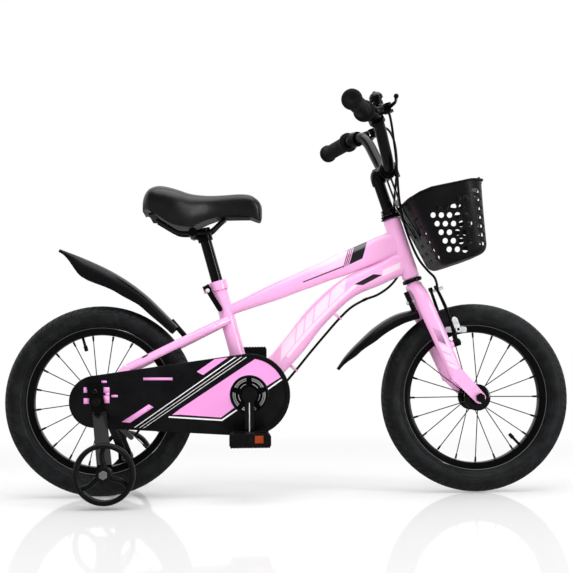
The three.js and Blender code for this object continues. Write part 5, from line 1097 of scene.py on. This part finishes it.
def saddle_rails():
    bm = bmesh.new()
    for side in (-1, 1):
        y = side * 21
        places = [(-122, y * 0.6, 517), (-128, y * 0.68, 512), (-145, y * 0.95, 496),
                  (-153, y, 492), (-176, y, 492), (-200, y, 492), (-209, y * 1.03, 494),
                  (-240, y * 1.2, 512), (-248, y * 1.25, 517)]
        tube(bm, [Vector(p) * MM for p in places], 3.5, 16, 48)
    tube(bm, [Vector((-122, -12.6, 517)) * MM, Vector((-119.5, 0, 517)) * MM,
              Vector((-122, 12.6, 517)) * MM], 3.5, 16, 20, FORWARD)
    return bm


dress("saddle_rail_wires", saddle_rails(), "seat", gloss_black, "saddle_rails")
refine("saddle_clamp", satin_black, "seat", 0.8, 46)


def seat_post():
    bm = bmesh.new()
    bar(bm, up_seat_tube(70), up_seat_tube(325), 11, 40)
    for rise in range(222, 262, 8):
        weld(bm, up_seat_tube(rise), seat_up, 10.9, 0.3)
    return bm


dress("painted_seat_post", seat_post(), "seat", gloss_black, "seat_post")
refine("seat_clamp", plain_pink, "frame", 0.9, 46)
nut = bmesh.new()
bmesh.ops.create_uvsphere(nut, u_segments=28, v_segments=16, radius=4.2 * MM,
                          matrix=Matrix.Translation(Vector((-152.3, -30, 381.9)) * MM))
dress("release_end_nut", nut, "release_lever", silver)
refine("release_skewer", bright_steel, "frame", 0.7, 46)
refine("release_lever", gloss_black, "release_lever", 1.2, 46)
print("saddle done")

# %% [markdown]
# The basket is a thin moulded tub with well-rounded corners. Its wall is swept as rounded
# rectangles from the floor to the rim, then its openings are cut through it: oval holes on the
# sides and the back, and longer slots round the front. They stop below a plain band.
# %% Basket
tub_height = 140


def tub(share):
    """The tub's half width, rear, front and corner radius at a share of its height."""
    return 88 + 22 * share, 49 - 22 * share, 141 + 31 * share, 30 + 14 * share


def basket_ring(share, grow, steps=9):
    """One rounded rectangle of the tub, in millimetres along the steering line."""
    half, rear, front, corner = tub(share)
    half, rear, front = half + grow, rear - grow, front + grow
    ring = []
    for x, y, first in ((front, half, 0), (rear, half, 1), (rear, -half, 2), (front, -half, 3)):
        cx = x - math.copysign(corner, x - (front + rear) / 2)
        cy = y - math.copysign(corner, y)
        for i in range(steps + 1):
            a = math.tau / 4 * (first + i / steps)
            ring.append((cx + corner * math.cos(a), cy + corner * math.sin(a),
                         share * tub_height))
    return ring


rim_stops = [(20, -3.5), (32, 0), (50, 3), (78, 4.5), (105, 2.5), (135, -3), (175, -9)]


def rim_lift(x, share):
    """The rim stands highest in its middle and sinks towards the front."""
    for (x0, low), (x1, high) in zip(rim_stops, rim_stops[1:]):
        if x <= x1:
            return share ** 2 * (low + (high - low) * ease((x - x0) / (x1 - x0)))
    return share ** 2 * rim_stops[-1][1]


def basket_skin():
    bm = bmesh.new()
    heights = [(0.0, -11), (0.012, -6.5), (0.035, -3), (0.07, -0.9)]
    heights += [(0.11 + 0.085 * i, 0) for i in range(10)] + [(0.955, 0), (1.0, 0)]
    loops = bridged(bm, [[steer(x, y, z + rim_lift(x, share)) for x, y, z in
                          basket_ring(share, tuck)] for share, tuck in heights])
    bmesh.ops.holes_fill(bm, edges=loops[0])
    bmesh.ops.recalc_face_normals(bm, faces=bm.faces)
    bmesh.ops.solidify(bm, geom=list(bm.faces), thickness=2.2 * MM)
    return bm


def opening(bm, centre, normal, wide, tall, lean=0.0):
    """A rounded cutter that passes through one wall."""
    normal = Vector(normal).normalized()
    across = UP.cross(normal).normalized()
    rise = normal.cross(across)
    across, rise = (across * math.cos(lean) + rise * math.sin(lean),
                    rise * math.cos(lean) - across * math.sin(lean))
    sweep(bm, [set_at(centre + normal * reach * MM, across * wide * MM, rise * tall * MM, normal)
               for reach in (-9, 9)], sides=16)


def wall_place(place):
    """How far ahead a place stands in the tub, and how high up as a share."""
    across = place - steer_foot
    return across.dot(steer_ahead) / MM, across.dot(steer_up) / (tub_height * MM)


def behind(place):
    """The place on the far wall that shows at a place of the near wall in the picture."""
    reach = -place.y
    for _ in range(4):
        seen = eye + (place - eye) * ((reach - eye.y) / (place.y - eye.y))
        reach = tub(wall_place(seen)[1])[0] * MM
    return seen


def side_opening(bm, place, side):
    forward, share = wall_place(place)
    _, rear, front, _ = tub(share)
    if 0.09 < share < 0.79 and rear + 15 < forward < front - (36 if side < 0 else 20):
        opening(bm, place, LEFT * side, 5.3, 6.0, lean=0.5 * side)


def basket_cutters():
    """Level rows of openings: ovals on the sides, slots round the front corners and the front.

    The far side's ovals stand where the picture looks through, so that the light shows there.
    """
    bm = bmesh.new()
    for row in range(-3, 9):
        for i in range(-4, 12):
            place = Vector((262 + 15.2 * i + 7.6 * (row % 2), -100, 544 - 15.5 * row)) * MM
            place.y = -tub(wall_place(place)[1])[0] * MM
            side_opening(bm, place, -1)
            side_opening(bm, behind(place), 1)
    for share in (0.13, 0.245, 0.36, 0.475, 0.59, 0.705, 0.81):
        half, rear, front, corner = tub(share)
        height = share * tub_height
        for side in (-1, 1):
            c, s = math.cos(math.radians(51)), math.sin(math.radians(51))
            centre = steer(front - corner + corner * c, side * (half - corner + corner * s), height)
            opening(bm, centre, steer_ahead * c + LEFT * side * s, 13, 4.3)
        for across in (-38, -12.5, 12.5, 38):
            opening(bm, steer(front, across, height), steer_ahead, 10.5, 4.2)
        for across in (-66, -50, -6, 9, 50, 66):
            if share < 0.75:
                shifted = across + (4 if across > 0 else -4) * (round(share * 10) % 2)
                opening(bm, steer(rear, shifted, height), -steer_ahead, 4.6, 4.6)
    for i in range(4):
        for j in range(8):
            if (i + j) % 2 == 0:
                opening(bm, steer(68 + i * 19, -60 + j * 17, 1), steer_up, 5.6, 4.8)
    return bm


def cut_with(piece, cutters, operation="DIFFERENCE"):
    """Cuts one mesh by another with the exact boolean, or keeps only what they share."""
    bmesh.ops.recalc_face_normals(cutters, faces=cutters.faces)
    tool = shown("cutters", cutters)
    cut = piece.modifiers.new("cut", "BOOLEAN")
    cut.operation = operation
    cut.solver = "EXACT"
    opens = operation == "DIFFERENCE"
    cut.use_self = opens
    cut.object = tool
    depsgraph = bpy.context.evaluated_depsgraph_get()
    done = bpy.data.meshes.new_from_object(piece.evaluated_get(depsgraph))
    piece.modifiers.clear()
    piece.data = done
    bpy.data.objects.remove(tool)
    # Openings get crisp rims; a clipped print is left as it comes, a little soft at its edges
    if opens:
        done.shade_smooth()
        done.set_sharp_from_angle(angle=math.radians(40))


basket = dress("moulded_basket", basket_skin(), "steering", grained_plastic, "basket",
               40)
cut_with(basket, basket_cutters())


def basket_trim():
    """The rolled lip round the rim, and a small knob below its front corner."""
    bm = bmesh.new()
    ring = basket_ring(1.0, 1.2)
    loop = [steer(x, y, z + rim_lift(x, 1.0) - 1.0) for x, y, z in ring]
    places = []
    count = len(loop)
    for i, place in enumerate(loop):
        ahead = (loop[(i + 1) % count] - loop[i - 1]).normalized()
        out = ahead.cross(steer_up).normalized()
        places.append(set_at(place, out * 2.6 * MM, steer_up * 2.0 * MM, ahead))
    bar(bm, steer(168, -74, 124), steer(168, -74, 137.5), 2.4, 16)
    return sweep(bm, places, sides=14, looped=True)


dress("basket_lip", basket_trim(), "steering", grained_plastic, angle=50)
refine("basket_bracket", satin_black, "steering", 0.5, 46)
print("basket faces:", len(basket.data.polygons))

# %% [markdown]
# The bell is a cap over a striker, clamped beside the right lever. The cap is turned as one
# profile, with a rolled edge and a small nut on top.
# %% Bell
def bell():
    bm = bmesh.new()
    top = steer(30, -92, 334)
    cap = [(0.001, 12), (4, 11.8), (8, 10.2), (11.2, 7), (12.8, 2.6), (13.2, 0), (13.0, -1.4),
           (12.2, -1.6), (11.8, -0.4), (11, 2), (0.001, 2)]
    spin(bm, cap, top, steer_up, 48)
    bar(bm, top + steer_up * 11 * MM, top + steer_up * 13.6 * MM, 3.2, 6)
    return bm


dress("bell_cap", bell(), "steering", gloss_black, angle=45)
refine("bell", smooth_plastic, "steering", 0.5, 46)
refine("bell_lever", smooth_plastic, "bell_lever", 0.7, 46)

# %% [markdown]
# The headset's cups are turned rings with rounded lips, one under the head tube and one on top.
# %% Headset cups, fender bolt and axles
low_ring = [(12.4, -8.6), (16, -8.8), (18.5, -7.4), (19.3, -4.6), (18.5, -1.8), (16, -0.4),
            (12.4, -0.4)]
high_ring = [(12.4, 0.4), (17.4, 0.4), (19.3, 1.6), (19.3, 3.2), (17.2, 4.4), (16.4, 5.6),
             (18.2, 6.4), (18.2, 8.0), (16, 8.8), (12.4, 8.8)]
for word, face, profile in (("lower", 0, low_ring), ("upper", head_tube_length, high_ring)):
    dress(f"headset_ring_{word}", spin(bmesh.new(), profile, steer(0, 0, face), steer_up),
          "frame", gloss_black, f"headset_cup_{word}", 50)
fender_bolt = bmesh.new()
bar(fender_bolt, Vector((0.241, 0, 0.3618)), Vector((0.2265, 0, 0.3572)), 3.4, 6)
dress("front_fender_bolt", fender_bolt, "steering", silver, bevel=0.5)
refine("headset_locknut", gloss_black, "steering", 0.6, 40)
refine("front_axle", gloss_black, "steering", 0.5, 46)
refine("rear_axle", gloss_black, "frame", 0.5, 46)

# %% [markdown]
# The chain guard is a flat cover with a rim turned in towards the chain. Its outline is a belt
# round two circles. The printed shapes on it are thin sheets laid on its face: a pink panel,
# stripes and hairlines, all plain shapes.
# %% Chain guard
def belt(inset, steps=28):
    """The outline round the rear and front circles of the guard, as (x, z) places."""
    r1, r2 = (47.5 - inset) * MM, (75.3 - inset) * MM
    x1, z1, x2, z2 = rear_axle.x - 0.004, 0.178, crank_axle.x, 0.188
    apart = math.hypot(x2 - x1, z2 - z1)
    base = math.degrees(math.atan2(z2 - z1, x2 - x1))
    lean = math.degrees(math.acos((r1 - r2) / apart))
    return (arc(x2, z2, r2, base - lean, base + lean, steps)
            + arc(x1, z1, r1, base + lean, base + 360 - lean, steps))


guard_face = -0.0623
guard_finish = moulded("gloss guard plastic", rgba("0c0c0e"), 0.26, 500.0, 0.04)


def chain_guard():
    bm = bmesh.new()
    rings = [[(x, y, z) for x, z in belt(inset)] for inset, y in
             ((3.4, -0.0603), (0.0, -0.0600), (0.0, -0.0612), (1.4, guard_face))]
    loops = bridged(bm, rings)
    bmesh.ops.holes_fill(bm, edges=loops[0])
    bmesh.ops.holes_fill(bm, edges=loops[-1])
    return bm


def guard_rim():
    """The rim that is turned in, deeper round the front than along the rest."""
    bm = bmesh.new()
    for depth, from_x in ((-0.0553, crank_axle.x - 0.190), (-0.037, crank_axle.x - 0.020)):
        outer, inner = belt(0.0, 40), belt(2.0, 40)
        keep = [(o, i) for o, i in zip(outer, inner) if o[0] >= from_x]
        top = sorted([p for p in keep if p[0][1] > 0.188], key=lambda p: p[0][0])
        low = sorted([p for p in keep if p[0][1] <= 0.188], key=lambda p: -p[0][0])
        run = top + low
        outline = [o for o, _ in run] + [i for _, i in reversed(run)]
        plate(bm, outline, -0.0600, depth)
    return bm


guard = dress("guard_cover", chain_guard(), "frame", guard_finish, "chain_guard",
              30)
guard_holes = bmesh.new()
bar(guard_holes, crank_axle - LEFT * 0.08, crank_axle - LEFT * 0.03, 32.5, 64)
bar(guard_holes, rear_axle - LEFT * 0.08, rear_axle - LEFT * 0.03, 6.5, 24)
cut_with(guard, guard_holes)
dress("guard_rim", guard_rim(), "frame", guard_finish, angle=30)


def hole_lip():
    bm = bmesh.new()
    ring = [(32.2, -61.6), (33.6, -62.9), (35.2, -62.7), (35.6, -62.2), (33, -60.4)]
    return spin(bm, [(r, -a) for r, a in ring], crank_axle, -LEFT, 96)


def ring_part(bm, radii, from_y, to_y, start, stop, steps=10):
    """Part of a flat ring about the crank axle, between two angles."""
    inner, outer = radii
    outline = arc(crank_axle.x, crank_axle.z, outer * MM, start, stop, steps)
    outline += reversed(arc(crank_axle.x, crank_axle.z, inner * MM, start, stop, steps))
    return plate(bm, outline, from_y, to_y)


# A raised flat band runs along the guard's rounded front edge
front_band = ring_part(bmesh.new(), (66.2, 74.4), -0.0620, -0.0634, -93, 88, 60)
dress("guard_front_band", front_band, "frame", guard_finish, angle=30,
      bevel=0.6)
dress("guard_hole_lip", hole_lip(), "frame", guard_finish, angle=50)

# %% [markdown]
# Printed panels follow places read off the picture. The camera gives the place on the guard's
# face that each one shows, so a panel is a short list of picture places, clipped to the cover.
# %% Printed panels on the guard
def printed(name, outline, finish, keep_out=None):
    """A thin sheet on the guard's face, from picture places, cut back to the cover."""
    places = [on_plane(px, py, guard_face) for px, py in outline]
    sheet = plate(bmesh.new(), [(p.x, p.z) for p in places], -0.06215, -0.06245)
    piece = dress(name, sheet, "frame", finish, angle=30)
    cut_with(piece, plate(bmesh.new(), belt(1.9, 40), -0.066, -0.058), "INTERSECT")
    if keep_out:
        hole = bmesh.new()
        bar(hole, crank_axle - LEFT * 0.08, crank_axle - LEFT * 0.03, keep_out, 64)
        cut_with(piece, hole)


pink_print = gloss_paint("pink print", rgba("F59FE0"), 0.5, 0.35)
white_print = gloss_paint("white print", rgba("F4F1F4"), 0.5, 0.35)
panel = [(172, 415), (180, 409), (256, 358.3), (272, 364.5), (281, 377), (266, 386.5),
         (234.5, 407.5), (221, 417.6), (180, 414.7)]
printed("guard_pink_panel", panel, pink_print, 35.8)
outline_strip = [(168.4, 417.6), (222, 421), (237.6, 410.4), (266, 391.4), (282.4, 379.9),
                 (281.6, 378.7), (265.6, 389.9), (236.9, 409.0), (221.7, 419.4), (168.8, 416.2)]
printed("guard_white_line", outline_strip, white_print, 35.8)
for name, (x0, y0), x1, wide in (("a", (134.7, 427.5), 235.5, 0.85),
                                 ("b", (139.5, 427.9), 241.5, 0.5),
                                 ("c", (143.5, 428.2), 246.5, 0.5)):
    strip = [(x0 - wide, y0), (x1 - wide, 357), (x1 + wide, 357), (x0 + wide, y0)]
    printed(f"guard_hairline_{name}", strip, white_print)
printed("guard_low_bar", [(121.8, 422), (130, 422.8), (153.6, 407.2), (148.7, 404.4)], pink_print)
printed("guard_high_bar", [(196.7, 371.7), (203, 375), (227.8, 357.6), (217.3, 357.3)],
        pink_print)
marks = [(101.4, 380.7, 106.8, 382.9), (83.6, 387.3, 87.3, 392.7), (83.6, 398.2, 89.1, 403.8),
         (103.6, 387.3, 109.5, 392.7), (103.6, 395.5, 109.5, 403.2), (111.4, 395, 117.7, 397.3),
         (105.4, 392.5, 109.5, 395.7), (143.3, 377.6, 172.5, 380.2)]
for letter, (x0, y0, x1, y1) in zip("abcdefgh", marks):
    printed(f"guard_mark_{letter}", [(x0, y1), (x1, y1), (x1, y0), (x0, y0)], pink_print)
print("guard printed")

# %% [markdown]
# The drive train is mostly hidden behind the guard, so most of its parts keep the model's own
# shapes with rounded edges. The chainwheel shows through the guard's round hole and is redrawn.
# %% Chain, cranks and pedals
for node, finish, body, slot in (
        ("crank_spindle", dull_steel, "cranks", "steel"),
        ("crank_left", gloss_black, "cranks", "black_paint"),
        ("crank_right", gloss_black, "cranks", "black_paint"),
        ("bracket_cup_right", dull_steel, "frame", "steel"),
        ("bracket_cup_left", dull_steel, "frame", "steel"),
        ("rear_sprocket", dull_steel, "sprocket", "steel"),
        ("chain", chain_steel, "frame", "steel"),
        ("pedal_right", grained_plastic, "pedal_right", "black_plastic"),
        ("pedal_left", grained_plastic, "pedal_left", "black_plastic"),
        ("rear_brake_arm", dull_steel, "rear_brake_arm", "steel"),
        ("rear_brake_drum", dull_steel, "rear_wheel", "steel"),
        ("rear_brake_housing", satin_black, "frame", "black_paint"),
        ("training_bolt_right", bright_steel, "frame", "steel"),
        ("training_bolt_left", bright_steel, "frame", "steel"),
        ("training_bracket_right", satin_black, "frame", "black_paint"),
        ("training_bracket_left", satin_black, "frame", "black_paint")):
    refine(node, finish, body, 0.5, 28)


def bracket_trim(side):
    """The bracket's rounded top, the rolled fold across it and its two domed nuts."""
    bm = bmesh.new()
    cap = [(x, z + 0.2132) for x, z in arc(-0.3602, 0, 0.0124, 0, 180, 16)]
    plate(bm, cap, side * 0.0632, side * 0.0666)
    bar(bm, Vector((-0.3605, side * 0.0668, 0.1583)), Vector((-0.3355, side * 0.0668, 0.1583)),
        1.5, 16)
    for x, z in ((-0.3556, 0.1963), (-0.3512, 0.1764)):
        profile = [(0.001, 0), (5.4, 0), (5.4, 2.6), (4.4, 4.4), (2.4, 5.4), (0.001, 5.8)]
        spin(bm, profile, (x, side * 0.0662, z), LEFT * side, 32)
    return bm


for word, side in SIDES:
    dress(f"training_bracket_trim_{word}", bracket_trim(side), "frame", gloss_black,
          angle=40)


def training_wheel(side):
    """A narrow tread ring on three curved spokes, with a deep hub."""
    bm = bmesh.new()
    middle = Vector((-0.3245, side * 0.19, 0.059))
    tread = [(44.2, -11), (46, -12.6), (50, -12.9), (52.2, -10.8), (52.95, -5.5), (52.95, 5.5),
             (52.2, 10.8), (50, 12.9), (46, 12.6), (44.2, 11)]
    spin(bm, tread, middle, LEFT, 112)
    hub = [(5.3, -13.5), (11.5, -13.5), (13.4, -12), (13.4, 12), (11.5, 13.5), (5.3, 13.5)]
    spin(bm, hub, middle, LEFT, 48)
    for spoke in range(3):
        bends = [math.degrees(0.13 * math.sin(math.pi * i / 8)) for i in range(9)]
        path = smooth_path([middle + way_at(90 + 120 * spoke + bend) * (11.5 + 34.5 * i / 8) * MM
                            for i, bend in enumerate(bends)], 20)
        sweep(bm, stations(path, [7.5 * MM] * 21, [(5.2 - 0.07 * i) * MM for i in range(21)]))
    return bm


for word, side in SIDES:
    dress(f"moulded_training_wheel_{word}", training_wheel(side), f"training_wheel_{word}",
          grained_plastic, f"training_wheel_{word}", 40)


def pedal_plates(side):
    """The toothed end plates of a pedal, with a notched edge above and below."""
    bm = bmesh.new()
    height = 0.11 if side < 0 else 0.266
    top = []
    for x in range(-33, 36, 6):
        top += [(x - 1.5, 10.6), (x - 1.1, 12.6), (x + 1.1, 12.6), (x + 1.5, 10.6)]
    top = [(-36.5, 8)] + top + [(36.5, 8)]
    outline = [(crank_axle.x + x * MM, height + z * MM) for x, z in both_sides(top)]
    for near, far in ((0.0815, 0.0850), (0.1552, 0.1584)):
        plate(bm, outline, side * near, side * far)
    return bm


for word, side in SIDES:
    dress(f"pedal_teeth_{word}", pedal_plates(side), f"pedal_{word}", grained_plastic,
          angle=30)


def crank_highlight_line(side):
    """A silver strip down the middle of a crank arm's outer face, as a painted highlight."""
    bm = bmesh.new()
    foot, tip = (0.176, 0.122) if side < 0 else (0.2, 0.254)
    width = 0.9 * MM
    x = crank_axle.x
    outline = [(x - width, foot), (x + width, foot), (x + width, tip), (x - width, tip)]
    return plate(bm, outline, side * 0.0762, side * 0.0770)


# Each black crank arm carries a painted highlight as a silver strip
for word, side in SIDES:
    dress(f"crank_highlight_line_{word}", crank_highlight_line(side), "cranks", silver, angle=30)


def chainwheel():
    """The toothed wheel: a tooth every 360/28 degrees round a disc, and five raised arms."""
    bm = bmesh.new()
    ring = []
    for tooth in range(28):
        for turn, radius in ((0, 53.4), (0.3, 53.4), (0.46, 57.6), (0.56, 58.6), (0.74, 58.6),
                             (0.84, 57.6)):
            angle = math.tau * (tooth + turn) / 28
            ring.append((crank_axle.x + radius * MM * math.cos(angle),
                         crank_axle.z + radius * MM * math.sin(angle)))
    plate(bm, ring, -0.0434, -0.0406)
    for arm in range(5):
        middle = 90 + 72 * arm
        ring_part(bm, (8, 50), -0.0452, -0.0434, middle - 7, middle + 7, 4)
    bar(bm, crank_axle - LEFT * 0.0434, crank_axle - LEFT * 0.0475, 18, 48)
    return bm


def silver_arcs():
    bm = bmesh.new()
    for arm in range(5):
        for radii, start, stop in (((28.2, 30.6), 99, 153), ((25.2, 27.0), 101, 151),
                                   ((19.2, 20.4), 107, 145)):
            ring_part(bm, radii, -0.0448, -0.0434, start + 72 * arm, stop + 72 * arm)
    return bm


dress("toothed_chainwheel", chainwheel(), "cranks", satin_black, "chainring", 30)
dress("chainwheel_arcs", silver_arcs(), "cranks", silver, angle=30)

for word, side in SIDES:
    glass = bmesh.new()
    middle = -0.0605 if side < 0 else -0.0915
    height = 0.1125 if side < 0 else 0.2665
    corners = [(middle + x * 0.0075, height + z * 0.0065) for x, z in
               ((-1, -1), (1, -1), (1, 1), (-1, 1))]
    plate(glass, corners, side * 0.1580, side * 0.1598)
    dress(f"pedal_reflector_{word}", glass, f"pedal_{word}", amber,
          angle=30, bevel=0.5)

# %% [markdown]
# Each front brake arm is a slim forged lever on a round boss. A bright holder with an upright
# tab carries the pad, which faces the rim, and a bright bolt at the top holds the cable.
# %% Front brake arms
def brake_arm(side):
    bm = bmesh.new()
    way = [(33.5, pivot_out, pivot_rise), (35, 46.5, -124), (36, 47, -100), (36, 43, -74),
           (35, 36, -50), (33.5, 30.5, -32)]
    path = smooth_path([steer(x, side * y, z) for x, y, z in way], 30)
    wide = [(4.9 - 2.1 * i / 30) * MM for i in range(31)]
    deep = [(4.2 - 1.4 * i / 30) * MM for i in range(31)]
    sweep(bm, stations(path, wide, deep))
    bar(bm, steer(27, side * pivot_out, pivot_rise), steer(40.5, side * pivot_out, pivot_rise),
        6.8, 28)
    bar(bm, steer(30, side * 30, -32), steer(37.5, side * 30, -32), 4.2, 20)
    return bm


def pad_block(bm, half_long, half_tall, from_y, to_y):
    """A block with cut corners about the pad's middle, level with the ground."""
    middle = steer(44.6, 0, -119)
    cut = half_tall * 0.45
    corners = []
    for sx, sz in ((1, 1), (-1, 1), (-1, -1), (1, -1)):
        pair = [(sx * half_long, sz * (half_tall - cut)), (sx * (half_long - cut), sz * half_tall)]
        corners += pair if sx * sz > 0 else reversed(pair)
    plate(bm, [(middle.x + x * MM, middle.z + z * MM) for x, z in corners], from_y, to_y)


for word, side in SIDES:
    arm_node = f"front_brake_arm_{word}"
    lo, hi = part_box(arm_node)
    near = side * min(abs(lo[1]), abs(hi[1]))
    dress(f"slim_brake_arm_{word}", brake_arm(side), arm_node, satin_black, arm_node,
          45)
    rubber = bmesh.new()
    pad_block(rubber, 19.5, 4.2, near, near + side * 0.0065)
    dress(f"brake_pad_{word}", rubber, arm_node, soft_rubber, angle=30)
    holder = bmesh.new()
    pad_block(holder, 20.6, 5.4, near + side * 0.0055, near + side * 0.0088)
    for level, half in ((-119, 5.4), (-104, 4.2)):
        low = steer(43, 0, level)
        bar(holder, Vector((low.x, near + side * 0.006, low.z)),
            Vector((low.x, side * 0.0545, low.z)), half * 0.62, 20)
        bar(holder, Vector((low.x, side * 0.0505, low.z)),
            Vector((low.x, side * 0.0545, low.z)), half, 6)
    tab = [steer(38, 0, -116), steer(49, 0, -116), steer(48.6, 0, -99), steer(45, 0, -94.5),
           steer(41, 0, -94.5), steer(37.6, 0, -99)]
    plate(holder, [(p.x, p.z) for p in tab], side * 0.0485, side * 0.0508)
    bar(holder, steer(36.5, side * 30, -36), steer(46, side * 30, -36), 3.1, 16)
    bar(holder, steer(25.6, side * pivot_out, pivot_rise),
        steer(42.4, side * pivot_out, pivot_rise), 3.4, 6)
    dress(f"brake_pad_holder_{word}", holder, arm_node, silver, angle=30,
          bevel=0.4)

# %% [markdown]
# The camera is the one measured from the picture. The floor and the backdrop show white to the
# camera and in mirrors and glass, and give the object only soft light, so the ground stays pale
# under it with a soft contact shadow.
# %% Camera, light and floor
scene = bpy.context.scene
lens = bpy.data.cameras.new("picture camera")
lens.sensor_width = 36
lens.lens = 36 * focal / image_size
camera = shown("picture camera", lens)
camera.matrix_world = set_at(eye, camera_right, camera_up, -look)
scene.camera = camera


def area_light(name, place, target, size, power):
    light = bpy.data.lights.new(name, "AREA")
    light.shape = "RECTANGLE"
    light.size, light.size_y = size
    light.energy = power
    lamp = shown(name, light)
    way = (Vector(target) - Vector(place)).to_track_quat("-Z", "Y")
    lamp.matrix_world = Matrix.Translation(Vector(place)) @ way.to_matrix().to_4x4()
    return lamp


area_light("overhead softbox", (0.1, -0.3, 2.6), (0, 0, 0.3), (2.6, 2.2), 46)
# The front lamp gives soft light alone, so that black faces turned to the camera stay black
front = area_light("front softbox", (-1.3, -2.6, 1.5), (0, 0, 0.35), (1.6, 1.4), 34)
front.visible_glossy = False
area_light("right softbox", (2.3, -1.6, 1.1), (0, 0, 0.4), (0.34, 2.0), 26)


def ray_kind(tree, kind):
    """One for rays of a kind, nought for the others."""
    return Shade(tree, tree.nodes.new("ShaderNodeLightPath").outputs[f"Is {kind} Ray"])


def see_through(tree):
    """One where a camera, a mirror or a glass looks, nought for soft light."""
    seen = ray_kind(tree, "Camera")
    for kind in ("Glossy", "Transmission"):
        seen = seen.math("MAXIMUM", ray_kind(tree, kind))
    return seen


world = bpy.data.worlds.new("studio")
scene.world = world
world.use_nodes = True
tree = world.node_tree
tree.nodes.clear()
# Mirrored rays see the white sweep behind the object and the darker room behind the camera
heading = Shade(tree, tree.nodes.new("ShaderNodeTexCoord").outputs["Generated"])
away = heading.node("ShaderNodeSeparateXYZ", None, {0: heading}, 1)
mirrored_white = away.smooth(-0.3, 0.7) * 0.88 + 0.12
seen = see_through(tree)
strength = (1 - seen) * 0.5 + seen * ray_kind(tree, "Camera").math("MAXIMUM", mirrored_white)
room = strength.node("ShaderNodeBackground", None, {"Color": (1, 1, 1, 1), "Strength": strength})
tree.links.new(room.socket, tree.nodes.new("ShaderNodeOutputWorld").inputs[0])
scene.view_settings.view_transform = "Standard"
scene.view_settings.look = "None"

floor_bm = bmesh.new()
bmesh.ops.create_grid(floor_bm, x_segments=1, y_segments=1, size=16)
floor = shown("floor", floor_bm)
floor.location.z = -0.0005
ground = Finish("pale floor")
fall = ground.place.node("ShaderNodeVectorMath", {"operation": "LENGTH"}, {0: ground.place}, 1)
far = fall.smooth(0.75, 1.9)
uneven = ground.noise(2.0).smooth(0.2, 0.8).mix((0.93, 0.93, 0.93, 1), (0.95, 0.95, 0.95, 1))
ground.set(Base_Color=uneven, Roughness=0.5, Specular_IOR_Level=0.05)
camera_ray, mirror_ray = ray_kind(ground.tree, "Camera"), ray_kind(ground.tree, "Glossy")
# In black lacquer the floor in front of the object shows as a dim studio floor
dimmed = 1 - mirror_ray * (1 - camera_ray) * 0.72
glow = dimmed.node("ShaderNodeEmission", None, {"Color": (1, 1, 1, 1), "Strength": dimmed})
share = mirror_ray.math("MAXIMUM", see_through(ground.tree) * (far * 0.8 + 0.2))
lit = Shade(ground.tree, ground.shader.outputs[0])
pale = share.node("ShaderNodeMixShader", None, {0: share, 1: lit, 2: glow})
# The floor is polished: the camera sees a faint mirror image of the wheels in it
sheen = camera_ray * (1 - far) * 0.2
polish = sheen.node("ShaderNodeBsdfGlossy", None, {"Color": (1, 1, 1, 1), "Roughness": 0.05})
ground.show(sheen.node("ShaderNodeMixShader", None, {0: sheen, 1: pale, 2: polish}))
floor.data.materials.append(ground.material)
